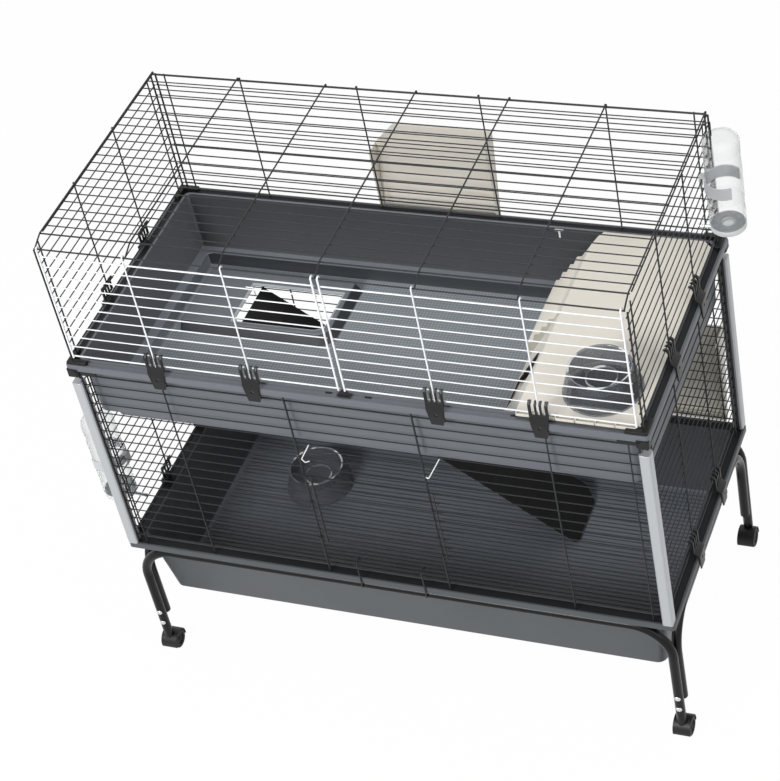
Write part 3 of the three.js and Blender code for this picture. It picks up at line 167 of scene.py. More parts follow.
def vary_colour(tree, shader, dark, light, patch_mm):
    """Lets the colour drift between two near tones in soft patches of the given size."""
    place = add_node(tree, "TexCoord").outputs["Object"]
    patches = add_node(tree, "TexNoise", {"Vector": place, "Scale": 1 / (patch_mm * mm), "Detail": 3})
    tones = add_node(tree, "Mix", {0: patches.outputs[0], 6: linear(dark), 7: linear(light)}, data_type="RGBA")
    tree.links.new(tones.outputs[2], shader.inputs["Base Color"])


def add_grain(tree, shader, grain_mm, height_mm, strength, detail=2):
    """Raises a fine irregular grain, as of a textured mould or of levelled paint."""
    place = add_node(tree, "TexCoord").outputs["Object"]
    grain = add_node(tree, "TexNoise", {"Vector": place, "Scale": 1 / (grain_mm * mm), "Detail": detail})
    bump = add_node(tree, "Bump", {"Height": grain.outputs[0], "Distance": height_mm * mm, "Strength": strength})
    tree.links.new(bump.outputs[0], shader.inputs["Normal"])


def finish(name, colour, roughness, drift=(), grain=(), **values):
    """A finish with a drifting colour, a grain or both, where their values are given."""
    material, tree, shader = new_material(name, colour, roughness, **values)
    if drift:
        vary_colour(tree, shader, *drift)
    if grain:
        add_grain(tree, shader, *grain)
    return material


def add_piece(name, shape, finishes, node=None, body="frame", edge_mm=0, sharp_angle=35):
    """Finishes a mesh that was drawn in millimetres, and fixes it to the body that carries it. The finishes
    are one, or several by the names of their regions, and edge_mm rounds the sharp edges."""
    bmesh.ops.recalc_face_normals(shape, faces=shape.faces[:])
    shape.transform(to_frame)
    mesh = bpy.data.meshes.new(name)
    shape.to_mesh(mesh)
    shape.free()
    for material in finishes.values() if isinstance(finishes, dict) else [finishes]:
        mesh.materials.append(material)
    mesh.shade_smooth()
    mesh.set_sharp_from_angle(angle=math.radians(sharp_angle))
    piece = add_object(name, mesh)
    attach(piece, body)
    if node:
        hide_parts(node)
    if edge_mm:
        bevel = piece.modifiers.new("edge", "BEVEL")
        bevel.width = edge_mm * mm
        bevel.segments = 2
        bevel.limit_method = "ANGLE"
        bevel.angle_limit = math.radians(35)
        bevel.harden_normals = False


def first_disc(shape, radius, sides, place):
    """The cut end with which a bar starts."""
    disc = bmesh.ops.create_circle(shape, cap_ends=True, segments=sides, radius=radius, matrix=place)
    return disc["verts"][0].link_faces[0]


def drawn_on(shape, face, way):
    """Draws a bar straight on from its end face. Returns the new end face."""
    grown = bmesh.ops.extrude_face_region(shape, geom=[face])["geom"]
    face = [part for part in grown if isinstance(part, bmesh.types.BMFace)][0]
    bmesh.ops.translate(shape, verts=face.verts[:], vec=way)
    return face


def bent_bar(shape, corners, radius, bend_radius=0, sides=8, steps=4):
    """Draws a round bar straight from corner to corner, and turns it round each one."""
    corners = [Vector(corner) for corner in corners]
    place = corners[0]
    heading = (corners[1] - place).normalized()
    aim = heading.to_track_quat("Z", "Y").to_matrix().to_4x4()
    face = first_disc(shape, radius, sides, Matrix.Translation(place) @ aim)
    for corner, after in zip(corners[1:], corners[2:] + [None]):
        onward = (after - corner).normalized() if after else heading
        turn = heading.angle(onward)
        start = corner - heading * bend_radius * math.tan(turn / 2)
        face = drawn_on(shape, face, start - place)
        place = start
        if turn > 0:
            axis = heading.cross(onward).normalized()
            centre = start + axis.cross(heading) * bend_radius
            spun = bmesh.ops.spin(
                shape, geom=[face], cent=centre, axis=axis, angle=turn, steps=steps, use_merge=False)
            face = [part for part in spun["geom_last"] if isinstance(part, bmesh.types.BMFace)][0]
            place = corner + onward * bend_radius * math.tan(turn / 2)
            heading = onward


tube_radius = 10
tube_bend = 80
long_rail_x, long_rail_y, long_rail_z = 575, 274, 316.7
side_rail_x, side_leg_y, side_rail_z = 577, 253.7, 311.7
leg_bottom = 45.3
side_leg_bottom = 100
stand_enamel = finish("black_stand_enamel", "#0b0b0b", 0.28, grain=(4, 0.12, 0.25), gloss=0.22)
rails = {
    "front": [(-long_rail_x, -long_rail_y), (long_rail_x, -long_rail_y)],
    "back": [(-long_rail_x, long_rail_y), (long_rail_x, long_rail_y)],
    "left": [(-side_rail_x, -side_leg_y), (-side_rail_x, side_leg_y)],
    "right": [(side_rail_x, -side_leg_y), (side_rail_x, side_leg_y)],
}
for side, (start, end) in rails.items():
    is_long = side in ("front", "back")
    top = long_rail_z if is_long else side_rail_z
    foot = leg_bottom if is_long else side_leg_bottom
    tube = bmesh.new()
    bent_bar(tube, [(*start, foot), (*start, top), (*end, top), (*end, foot)], tube_radius, tube_bend, 20, 12)
    add_piece("rail_" + side, tube, stand_enamel, "stand_rail_" + side, edge_mm=1.2)

# Bolts: two zinc-plated dome bolts through each leg of the long tubes, which hold the short tube behind.
corners = {"front_left": (-1, -1), "front_right": (1, -1), "back_left": (-1, 1), "back_right": (1, 1)}
bolt_heights = (122, 90)
bolt_radius = 6.5
bolt_dome = 3.4
bolt_y = long_rail_y + tube_radius - bolt_dome / 2
flatten = Matrix.Diagonal((1, bolt_dome / bolt_radius, 1, 1))
zinc = finish("zinc_plated_steel", "#d9dadc", 0.28, grain=(1.5, 0.05, 0.3), metallic=1.0)
bolts = bmesh.new()
for sign_x, sign_y in corners.values():
    for height in bolt_heights:
        place = Matrix.Translation((sign_x * long_rail_x, sign_y * bolt_y, height))
        bmesh.ops.create_uvsphere(bolts, u_segments=16, v_segments=10, radius=bolt_radius, matrix=place @ flatten)
add_piece("leg_bolts", bolts, zinc)

# Castors: a moulded black nylon hood with a web between two wheels, which roll on one axle. Nylon comes out
# of its mould with a dull sheen, and the treads are scuffed a little paler.
axle_way = Vector((1, 0, 0))
upright = Vector((0, 0, 1))
wheel_radius = 20.5
wheel_width = 14
wheel_gap = 1.2
wheel_crown = 1.4
web_half = 3
web_end = 5
hood_wall = 2.6
hood_inside = wheel_radius + wheel_gap
hood_radius = hood_inside + hood_wall
hood_half = web_half + wheel_gap + wheel_width
hood_start = math.radians(-14)
hood_sweep = math.radians(208)
stem_radius = 8
stem_foot = wheel_radius + 16
caster_trail = 10
caster_top = 45
axle_radius = 2.9
inner = web_half + wheel_gap / 2
outer = inner + wheel_width
wheel_profile = [
    (3, inner), (wheel_radius - wheel_crown, inner), (wheel_radius, inner + wheel_crown),
    (wheel_radius, outer - wheel_crown), (wheel_radius - wheel_crown, outer), (13, outer), (12, outer - 2.4),
    (6, outer - 2.4), (5, outer - 0.4), (3, outer - 0.4),
]
half_section = [(hood_half, hood_radius), (hood_half, hood_inside), (web_half, hood_inside), (web_half, web_end)]
hood_section = half_section + [(-x, r) for x, r in reversed(half_section)]
nylon = finish("black_nylon", "#161616", 0.45, grain=(1.2, 0.06, 0.35), gloss=0.3)
tread = finish("scuffed_nylon_tread", "#1c1c1c", 0.62, ("#181818", "#272728", 6), gloss=0.25)


def add_verts(shape, points):
    return [bmesh.ops.create_vert(shape, co=point)["vert"][0] for point in points]


def add_loop(shape, points):
    """A closed loop of edges. Returns its vertices and edges."""
    verts = add_verts(shape, points)
    return verts, [shape.edges.new(pair) for pair in zip(verts, verts[1:] + verts[:1])]


def turned(shape, profile, axis, centre, sides):
    """Turns a profile, given as radius and distance along the axis, once round the axis."""
    across = axle_way if axis.z else upright
    verts, edges = add_loop(shape, [centre + across * radius + axis * along for radius, along in profile])
    bmesh.ops.spin(
        shape, geom=verts + edges, cent=centre, axis=axis, angle=math.tau, steps=sides, use_merge=True)
    bmesh.ops.remove_doubles(shape, verts=shape.verts[:], dist=0.001)


def swept(shape, corners, axis, sweep, steps):
    """Sweeps a flat outline part of a turn round an axis through the zero point."""
    face = shape.faces.new(add_verts(shape, corners))
    bmesh.ops.spin(shape, geom=[face], cent=(0, 0, 0), axis=axis, angle=sweep, steps=steps, use_merge=False)


for corner, (sign_x, sign_y) in corners.items():
    hub = Vector((sign_x * long_rail_x, sign_y * (long_rail_y - caster_trail), wheel_radius))
    hood = bmesh.new()
    swept(hood, [(x, math.cos(hood_start) * r, math.sin(hood_start) * r) for x, r in hood_section],
          axle_way, hood_sweep, 26)
    bmesh.ops.translate(hood, verts=hood.verts[:], vec=hub)
    bent_bar(hood, [(hub.x, sign_y * long_rail_y, height) for height in (stem_foot, caster_top)],
             stem_radius, sides=20)
    add_piece("castor_hood_" + corner, hood, nylon, "caster_hood_" + corner,
              "caster_" + corner, 0.6)
    wheels = bmesh.new()
    for sign in (-1, 1):
        turned(wheels, [(r, sign * x) for r, x in wheel_profile], axle_way, hub, 36)
    bent_bar(wheels, [hub - axle_way * (outer - 1), hub + axle_way * (outer - 1)], axle_radius, sides=12)
    add_piece("castor_wheels_" + corner, wheels, tread, "caster_wheels_" + corner,
              "wheels_" + corner)

# Trays: each is injection moulded in grey polypropylene, with a flanged rim and a fine matt grain. Both are
# drawn as one closed wall, from the outside of the floor up, over the rim and down to the inside.
half_length = 590
half_width = 284
ring_steps = 8
channel_depth = 3


def outline(x0, x1, y0, y1, z, radius, front_right=None):
    """A level outline with round corners. The front right one may have a radius of its own."""
    return {"low": (x0, y0), "high": (x1, y1), "z": z, "radius": radius, "front_right": front_right or radius}


def insets(*rings):
    """Outlines inside the rim's, each given by its inset, corner radius and height."""
    return [outline(inset - half_length, half_length - inset, inset - half_width, half_width - inset, z, radius)
            for inset, radius, z in rings]


def ring_point(ring, spoke):
    """Where the ring's round corner on the spoke's side ends the spoke."""
    radius = ring["front_right"] if spoke.x > 0 > spoke.y else ring["radius"]
    x = ring["high"][0] - radius if spoke.x > 0 else ring["low"][0] + radius
    y = ring["high"][1] - radius if spoke.y > 0 else ring["low"][1] + radius
    return Vector((x, y, ring["z"])) + spoke * radius


def drawn_wall(shape, rings, close_ends):
    """A wall through all outlines, closed to a floor at both ends or joined to its own start. Each outline is
    a circle whose quarters are moved out to the corners."""
    half_step = Matrix.Rotation(math.pi / (4 * ring_steps), 4, "Z")
    loops = []
    for ring in rings:
        loops.append(bmesh.ops.create_circle(shape, segments=4 * ring_steps, radius=1, matrix=half_step)["verts"])
        for vertex in loops[-1]:
            vertex.co = ring_point(ring, vertex.co)
    for before, after in zip(loops, loops[1:]):
        for quad in zip(before, before[1:] + before[:1], after[1:] + after[:1], after):
            shape.faces.new(quad)
    if close_ends:
        shape.faces.new(loops[0])
        shape.faces.new(loops[-1])
    else:
        bmesh.ops.remove_doubles(shape, verts=shape.verts[:], dist=0.001)


def rim_outlines(top, wall_inset, inner_inset):
    """The skirt and flange, with the channel between two lips in which the panels stand."""
    return insets(
        (wall_inset, 18, top - 4), (4, 4, top - 4), (4, 4, top - 14), (0, 8, top - 14), (0, 8, top - 1.5),
        (0.5, 7.5, top - 0.5), (1.5, 6.5, top), (4.6, 5.5, top), (5.2, 5.3, top - channel_depth),
        (inner_inset - 5.4, 14, top - channel_depth), (inner_inset - 5, 14, top), (inner_inset - 2, 14, top),
        (inner_inset - 0.6, 14, top - 0.6), (inner_inset, 14, top - 2.5))


def give(face, finishes, region):
    """Gives a face the finish of its region."""
    face.material_index = list(finishes).index(region)


def finish_faces(shape, rim_top, wall_foot, finishes):
    """Gives every face of a tray the finish of inside, outside, end walls, long walls or channel. The inner walls
    and the channel take darker tones as painted shade.
    """
    bmesh.ops.recalc_face_normals(shape, faces=shape.faces[:])
    for face in shape.faces:
        middle = face.calc_center_median()
        outward = face.normal.x * middle.x + face.normal.y * middle.y
        is_wall = abs(face.normal.z) < 0.7
        on_rim = middle.z > rim_top - 0.3
        region = "inside"
        if face.normal.z < -0.7 or (is_wall and outward > 0 and middle.z > wall_foot - 40) or on_rim:
            region = "outside"
        if is_wall and outward < 0 and wall_foot < middle.z < rim_top - 0.3:
            region = "long_walls" if abs(face.normal.y) > abs(face.normal.x) else "end_walls"
        if face.normal.z > 0.9 and abs(middle.z - rim_top + channel_depth) < 0.1:
            region = "channel"
        give(face, finishes, region)


def block(shape, middle, size):
    """A box about its middle. Returns its corners."""
    place = Matrix.Translation(middle) @ Matrix.Diagonal((*size, 1))
    return bmesh.ops.create_cube(shape, size=1, matrix=place)["verts"]


def lit_tray_tone(name, colour, dark, light, roughness):
    """Moulded polypropylene in a tone of its own for each wall, with that wall's painted light or painted shade."""
    return finish(name, colour, roughness, (dark, light, 160), (2.2, 0.12, 0.35))


lower_rim_top = 341
lower_bottom = 168
lower_floor = 172
# The channel's floor is painted near black: painted shade down in the channel between the lips.
channel_shade = finish("near_black_painted_channel_shade", "#17181a", 0.6, grain=(2.2, 0.12, 0.35), gloss=0.25)
# One dark grey plastic in several tones: the inner long and end walls are darker as painted shade, and the channel
# is painted shade.
lower_finishes = {
    "inside": lit_tray_tone("dark_grey_polypropylene_floor", "#61666c", "#5c6167", "#676c72", 0.5),
    "outside": lit_tray_tone("dark_grey_polypropylene_outside", "#43474b", "#3f4347", "#484c50", 0.46),
    "long_walls": lit_tray_tone("dark_grey_polypropylene_long_walls_painted_shade", "#3a3d42", "#36393e", "#3f4247", 0.55),
    "end_walls": lit_tray_tone("dark_grey_polypropylene_end_walls_painted_shade", "#42454a", "#3e4146", "#474a4f", 0.55),
    "channel": channel_shade,
}
lower_wall = bmesh.new()
drawn_wall(lower_wall, [
    *insets((50, 18, lower_bottom), (46.6, 20, lower_bottom + 1.2), (46, 21, lower_bottom + 4)),
    *rim_outlines(lower_rim_top, 26, 30),
    *insets((50, 14, lower_floor + 4), (51.2, 13, lower_floor + 1.2), (54, 11, lower_floor)),
], True)
rib_pitch = 11
rib_width = 2
rib_height = 1.6
rib_length = (half_length - 62) * 2
ribs = set()
for rib_y in range(64 - half_width, half_width - 62, rib_pitch):
    ribs.update(block(lower_wall, (0, rib_y, lower_floor), (rib_length, rib_width, rib_height)))
finish_faces(lower_wall, lower_rim_top, lower_floor + 5, lower_finishes)
# The floor's ribs and the rim's inner lip take the darker long-wall tone: painted shade along the ribs and over the
# lip.
inner_lip = 25
for face in lower_wall.faces:
    middle = face.calc_center_median()
    on_shaded_inner_lip = (middle.z > lower_rim_top - 1 and abs(middle.x) < half_length - inner_lip
                    and abs(middle.y) < half_width - inner_lip)
    if ribs.issuperset(face.verts) or on_shaded_inner_lip:
        give(face, lower_finishes, "long_walls")
add_piece("lower_tray_shell", lower_wall, lower_finishes, "lower_tray")

# Upper tray: the same rim over a ledge, a floor moulded with fine dots, and a raised deck at its left. The ramp's
# hole in the deck has a lip painted pale as a highlight, and the deck's walls and the wall behind the deck are
# painted in shade.
upper_rim_top = 843
upper_bottom = 673
upper_floor = 677
ledge_top = 707
deck_top = 699
dotted, dotted_tree, dotted_shader = new_material("dotted_grey_polypropylene", "#878e93", 0.5)
dot_pitch = 7
dot_place = add_node(dotted_tree, "TexCoord").outputs["Object"]
dots = add_node(dotted_tree, "TexVoronoi", {"Vector": dot_place, "Scale": 1 / (dot_pitch * mm), "Randomness": 0},
                voronoi_dimensions="2D")
dot_mask = add_node(dotted_tree, "MapRange", {
    "Value": dots.outputs["Distance"], "From Min": 0.25, "From Max": 0.5, "To Min": 1, "To Max": 0})
dot_tones = add_node(dotted_tree, "Mix", {
    0: dot_mask.outputs[0], 6: linear("#7a8186"), 7: linear("#949ba0")}, data_type="RGBA")
dotted_tree.links.new(dot_tones.outputs[2], dotted_shader.inputs["Base Color"])
dot_bump = add_node(dotted_tree, "Bump", {"Height": dot_mask.outputs[0], "Distance": 0.5 * mm, "Strength": 0.6})
dotted_tree.links.new(dot_bump.outputs[0], dotted_shader.inputs["Normal"])
# The grey plastic in several tones: the inner long and end walls and the deck's walls are darker as painted shade,
# and the hole's lip is paler as a painted highlight.
upper_finishes = {
    "inside": lit_tray_tone("grey_polypropylene_ledge", "#7e838b", "#797e86", "#848991", 0.5),
    "outside": lit_tray_tone("grey_polypropylene_outside", "#5d6167", "#595d63", "#62666c", 0.44),
    "long_walls": lit_tray_tone("grey_polypropylene_long_walls_painted_shade", "#303337", "#2d3034", "#34373b", 0.55),
    "end_walls": lit_tray_tone("grey_polypropylene_end_walls_painted_shade", "#5c5f64", "#575a5f", "#616469", 0.55),
    "channel": channel_shade,
    "floor": dotted,
    "deck": lit_tray_tone("grey_polypropylene_deck", "#6a6f74", "#666b70", "#6e7378", 0.5),
    "deck_walls": lit_tray_tone("grey_polypropylene_deck_walls_painted_shade", "#303338", "#2d3034", "#34373c", 0.55),
    "hole_lip": lit_tray_tone("grey_polypropylene_hole_lip_painted_highlight", "#a4a9ae", "#9fa4a9", "#a9aeb3", 0.45),
}
upper_wall = bmesh.new()
deck_foot = (-517, -171, 14, 200)
deck_inner = (-513, -187, 32, 196)
ramp_hole = (-400, -200, 45, 158)
drawn_wall(upper_wall, [
    outline(*deck_inner, upper_bottom, 4, 26),
    *insets((51, 12, upper_bottom), (47.6, 14, upper_bottom + 1.2), (47, 15, upper_bottom + 4),
            (47, 15, ledge_top - 5), (46, 15, ledge_top - 4), (26, 18, ledge_top - 4), (25, 18, ledge_top - 3)),
    *rim_outlines(upper_rim_top, 20, 24),
    *insets((29, 14, ledge_top + 2), (30.5, 13, ledge_top), (50, 13, ledge_top), (51, 12, ledge_top - 1),
            (51, 12, upper_floor + 4), (52.2, 11, upper_floor + 1.2), (55, 9, upper_floor)),
    outline(*deck_foot, upper_floor, 8, 40),
    outline(-516.5, -172.5, 15.5, 199.5, upper_floor + 1.5, 8, 39),
    outline(-515, -185, 30, 198, deck_top - 1.5, 6, 28),
    outline(-513.5, -186.5, 31.5, 196.5, deck_top, 5, 27),
    outline(-405.5, -194.5, 39.5, 163.5, deck_top, 4, 31),
    outline(-404.5, -195.5, 40.5, 162.5, deck_top - 0.2, 3, 30),
    outline(*ramp_hole, deck_top - 2.5, 2, 26), outline(*ramp_hole, deck_top - 4, 2, 26),
    outline(*deck_inner, deck_top - 4, 4, 26), outline(*deck_inner, upper_bottom, 4, 26),
], False)


def is_over(place, area, margin):
    """Whether a place is over an area, given as x from and to and y from and to, or nearly so."""
    x0, x1, y0, y1 = area
    return x0 - margin < place.x < x1 + margin and y0 - margin < place.y < y1 + margin


finish_faces(upper_wall, upper_rim_top, ledge_top + 0.5, upper_finishes)
for face in upper_wall.faces:
    heights = [vertex.co.z for vertex in face.verts]
    rise = max(heights) - min(heights)
    middle = face.calc_center_median()
    on_deck = is_over(middle, deck_foot, 1)
    if rise < 0.1 and abs(heights[0] - upper_floor) < 0.1:
        give(face, upper_finishes, "floor")
    # The back wall below the ledge takes the dark long-wall tone: painted shade.
    if face.normal.y < -0.7 and upper_floor + 1 < middle.z < ledge_top and middle.y > 200:
        give(face, upper_finishes, "long_walls")
    if rise < 2 and face.normal.z > 0.5 and abs(heights[0] - deck_top) < 2:
        give(face, upper_finishes, "deck")
    # The deck's walls take a dark tone: painted shade.
    if on_deck and abs(face.normal.z) < 0.7:
        give(face, upper_finishes, "deck_walls")
    # The deck's top round the ramp's hole takes the pale lip tone: a painted highlight.
    if on_deck and face.normal.z > 0.3 and deck_top - 2.6 <= min(heights) < deck_top - 0.1 and middle.x < -190:
        give(face, upper_finishes, "hole_lip" if is_over(middle, ramp_hole, 7) else "deck")
    on_front_channel = middle.z > upper_rim_top - channel_depth - 1 and middle.y < 30 - half_width
    if on_front_channel and abs(middle.x) < half_length - 40:
        give(face, upper_finishes, "outside")
add_piece("upper_tray_shell", upper_wall, upper_finishes, "upper_tray")

# Ramp: a board of black grained plastic that turns on two pins in the walls of the raised deck. Its foot
# rests on the lower floor, with its back corner cut away. Two bright hooks hold it at the hole's edge.
ramp_pivot = Vector((-400, 114, 688))
ramp_foot_x = 277
ramp_half_width = 75
ramp_thickness = 6
board_taper = 14
foot_clearance = 0.3
board_start = ramp_pivot + Vector((6, 0, -11))
ramp_fall = board_start.z - lower_floor - foot_clearance - ramp_thickness / 2
ramp_run = ramp_foot_x - board_start.x
ramp_length = math.hypot(ramp_run, ramp_fall)
ramp_slope = math.atan2(ramp_fall, ramp_run)
ramp_black = finish("black_grained_board", "#121212", 0.8, ("#0f0f0f", "#171717", 4), (2.5, 0.5, 0.6, 4), gloss=0.3)


def thicken(shape, faces, along):
    """Draws flat faces out to a closed body."""
    grown = bmesh.ops.extrude_face_region(shape, geom=faces, use_keep_orig=True)["geom"]
    bmesh.ops.translate(shape, verts=[part for part in grown if isinstance(part, bmesh.types.BMVert)], vec=along)


def prism(shape, corners, along):
    """A closed prism on a flat outline, drawn out by the given vector."""
    thicken(shape, [shape.faces.new(add_verts(shape, corners))], along)


board = bmesh.new()
cut_front, cut_back = 5, 28
back_edge = Vector((ramp_length, board_taper)).normalized() * cut_back
board_outline = [
    (0, -ramp_half_width), (ramp_length - cut_front, -ramp_half_width), (ramp_length, cut_front - ramp_half_width),
    (ramp_length, ramp_half_width - cut_back), (ramp_length - back_edge.x, ramp_half_width - back_edge.y),
    (0, ramp_half_width - board_taper),
]
prism(board, [(x, y, -ramp_thickness / 2) for x, y in board_outline], (0, 0, ramp_thickness))
first_tread, last_tread, tread_pitch = 70, math.ceil(ramp_length - 60), 45
tread_size = (5, ramp_half_width * 2 - 32, 1.6)
for tread_x in range(first_tread, last_tread, tread_pitch):
    block(board, (tread_x, -8, ramp_thickness / 2), tread_size)
board.transform(Matrix.Translation(board_start) @ Matrix.Rotation(ramp_slope, 4, "Y"))
pin_radius = 2.6
pin_bend = (2, 12, 3)
for pin_end, pin_start, arm_end in ((-85.5, -71.5, -71.5), (85.5, 70, 57)):
    bent_bar(board, [ramp_pivot + Vector((0, pin_end, 0)), ramp_pivot + Vector((0, pin_start, 0)),
                     board_start + Vector((6, arm_end, -4))], pin_radius, *pin_bend)
add_piece("ramp_board", board, ramp_black, "ramp", "ramp", 0.8)
bright_wire = finish("bright_zinc_wire", "#eceded", 0.3, grain=(2, 0.05, 0.3), metallic=0.4)
hanger_radius = 1.4
fine_bend = (2.5, 10, 4)
hangers = bmesh.new()
for hanger_y in (50, 146):
    bent_bar(hangers, [(-414, hanger_y, 700.6), (-398, hanger_y, 700.6), (-396, hanger_y, 681)],
             hanger_radius, *fine_bend)
add_piece("ramp_hangers", hangers, bright_wire)

# Corner posts: pale satin extrusions with a groove for each panel, cut square and a little rounded at the
# foot. The drawing through the die leaves fine lines along them.
def copied_solid(node):
    """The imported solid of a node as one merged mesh, in millimetres about the trays' middle."""
    shape = bmesh.new()
    shape.from_mesh(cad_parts[node].data)
    bmesh.ops.remove_doubles(shape, verts=shape.verts[:], dist=0.000001)
    bmesh.ops.dissolve_limit(shape, angle_limit=math.radians(0.5), verts=shape.verts[:], edges=shape.edges[:])
    shape.transform(to_frame.inverted())
    return shape


post_silver, post_tree, post_shader = new_material("satin_silver_extrusion", "#aeb1b4", 0.34, 0.3)
lines_per_metre = 900
line_stretch = (1, 1, 0.01)
post_place = add_node(post_tree, "TexCoord").outputs["Object"]
drawn_out = add_node(post_tree, "Mapping", {"Vector": post_place, "Scale": line_stretch}).outputs[0]
die_lines = add_node(post_tree, "TexNoise", {"Vector": drawn_out, "Scale": lines_per_metre, "Detail": 2})
line_bump = add_node(post_tree, "Bump", {"Height": die_lines.outputs[0], "Distance": 0.1 * mm, "Strength": 0.3})
post_tree.links.new(line_bump.outputs[0], post_shader.inputs["Normal"])
for corner in corners:
    add_piece("post_" + corner, copied_solid("corner_post_" + corner), post_silver,
              "corner_post_" + corner, edge_mm=0.8)

# Connectors: low black moulded collars that slide on the posts and clasp the panels under the upper rim.
fitting_black = finish("black_moulded_fitting", "#161616", 0.45, grain=(1.2, 0.08, 0.35), gloss=0.3)
connector_share = 0.55
for corner in corners:
    collar = copied_solid("corner_connector_" + corner)
    collar_top = max(vertex.co.z for vertex in collar.verts)
    for vertex in collar.verts:
        vertex.co.z = collar_top + (vertex.co.z - collar_top) * connector_share
    add_piece("connector_" + corner, collar, fitting_black, "corner_connector_" + corner,
              edge_mm=0.5)

# Wire panels: drawn steel wire, welded at every crossing and dipped in black enamel. Rows lie inside and the
# stouter columns outside, pressed a little into each other where they are welded.
wire_pitch = 25
row_radius = 1.2
column_radius = 1.6
stout_radius = 2
layer_spacing = 2.7
end_spacing = 20
row_overhang = 1.6
panel_x = 575
panel_y = 273
lower_wire_ends = (338.3, 838.7)
lower_edge_x = 566.7
lower_edge_y = 264.7
wire_black = finish("black_dipped_wire_enamel", "#1f2123", 0.4, grain=(3, 0.08, 0.35), gloss=0.3)


def level_wire(shape, start, end, y, height, radius):
    """One straight row of wire."""
    bent_bar(shape, [(start, y, height), (end, y, height)], radius)


def upright_wire(shape, x, y, bottom, top, radius):
    """One straight column of wire."""
    bent_bar(shape, [(x, y, bottom), (x, y, top)], radius)


def wire_rows(first, last):
    """The heights of the rows."""
    return [first + wire_pitch * step for step in range(round((last - first) / wire_pitch) + 1)]


def curled_end(shape, place, radius=2.6):
    """The tight curl in which a wire ends, seen as a small knob."""
    bmesh.ops.create_uvsphere(shape, u_segments=10, v_segments=6, radius=radius, matrix=Matrix.Translation(place))


def welded_panel(rows, columns):
    """Rows as (height, from, to, radius) and columns as (place, from, to, radius), the columns in front."""
    shape = bmesh.new()
    for height, start, end, radius in rows:
        level_wire(shape, start, end, 0, height, radius)
    for place, bottom, top, radius in columns:
        upright_wire(shape, place, -layer_spacing, bottom, top, radius)
    return shape


def plain_rows(heights, reach):
    """Rows to the same reach on both sides. The lowest and highest are stouter."""
    return [(height, -reach, reach, column_radius if height in (heights[0], heights[-1]) else row_radius)
            for height in heights]


def both_sides(places):
    return [-place for place in places] + list(places)


def add_wirework(name, shape, node=None, x=0, y=0, quarter_turns=0):
    """Turns black wirework about the upright by quarters and stands it in its place on the frame."""
    shape.transform(Matrix.Translation((x, y, 0)) @ Matrix.Rotation(math.pi / 2 * quarter_turns, 4, "Z"))
    add_piece(name, shape, wire_black, node)


def columns(edge, others, bottom, top, stout_too=(), low_ends=()):
    """Columns on both sides: a stout one at the edge, one beside it, and the others."""
    stout, low = (edge, *stout_too), dict(low_ends)
    return [(place, bottom, low.get(place, top), stout_radius if abs(place) in stout else column_radius)
            for place in both_sides([edge, edge - end_spacing, *others])]


lower_heights = wire_rows(360, 810)
door_low, door_high = 418, 602
doorway_reach = 127.6
back_rows = plain_rows(lower_heights, lower_edge_x + row_overhang)
front_rows = []
for height, start, end, radius in back_rows:
    cuts = [-doorway_reach, doorway_reach] if door_low < height < door_high else []
    bounds = [start, *cuts, end]
    front_rows += [(height, left, right, radius) for left, right in zip(bounds[::2], bounds[1::2])]
front_columns = columns(lower_edge_x, (390, 130), *lower_wire_ends, stout_too=(130,))
add_wirework("front_grille_lower", welded_panel(front_rows, front_columns), "lower_panel_front", 0, -panel_y)
back_columns = columns(lower_edge_x, (390, 130), *lower_wire_ends)
add_wirework("back_grille_lower", welded_panel(back_rows, back_columns), "lower_panel_back", 0, panel_y, 2)
side_rows = plain_rows(lower_heights, lower_edge_y + row_overhang)
side_columns = columns(lower_edge_y, (88,), *lower_wire_ends)
for side, sign in (("left", -1), ("right", 1)):
    add_wirework(side + "_grille_lower", welded_panel(side_rows, side_columns), "lower_panel_" + side,
                 sign * panel_x, 0, sign)

# Lower door: the same wire, hung by rows whose ends are bent to open loops round the doorway's left column.
# On the right every row ends in a small curl. Two bright hooks on the grille hold the open door.
door_hinge_x = -130
door_row_y = -279.7
door_column_y = door_row_y - layer_spacing
door_edge_x = 147
door_loop = 3.5
loop_reach = 3.8
loop_back_y = door_row_y + door_loop * 2 + 0.6
lower_door = bmesh.new()
door_heights = [height + 5 for height in lower_heights if door_low < height < door_high + 10]
looped_rows = (door_heights[0], door_heights[len(door_heights) // 2], door_heights[-1])
for height in door_heights:
    row_end = (door_edge_x, door_row_y, height)
    curled_end(lower_door, row_end)
    if height in looped_rows:
        loop_left, loop_right = door_hinge_x - loop_reach, door_hinge_x + loop_reach
        bent_bar(lower_door, [row_end, (loop_left, door_row_y, height), (loop_left, loop_back_y, height),
                              (loop_right, loop_back_y, height)], row_radius, door_loop, 8, 6)
    else:
        level_wire(lower_door, door_hinge_x + 3.4, door_edge_x, door_row_y, height, row_radius)
for place, radius in ((-113, stout_radius), (door_edge_x - 5, row_radius)):
    upright_wire(lower_door, place, door_column_y, door_heights[0] - 4, door_heights[-1] + 4, radius)
add_piece("lower_door_grille", lower_door, wire_black, "lower_door", "lower_door")
grille_hooks = bmesh.new()
grille_hook_y = -275.8
grille_hook_radius = 1.1
for hook_corners in ([(-102, 700), (-126, 658), (-120, 650), (-110, 655)], [(168, 709), (137, 652), (128, 656)]):
    bent_bar(grille_hooks, [(x, grille_hook_y, z) for x, z in hook_corners], grille_hook_radius, *fine_bend)
add_piece("grille_hooks", grille_hooks, bright_wire)

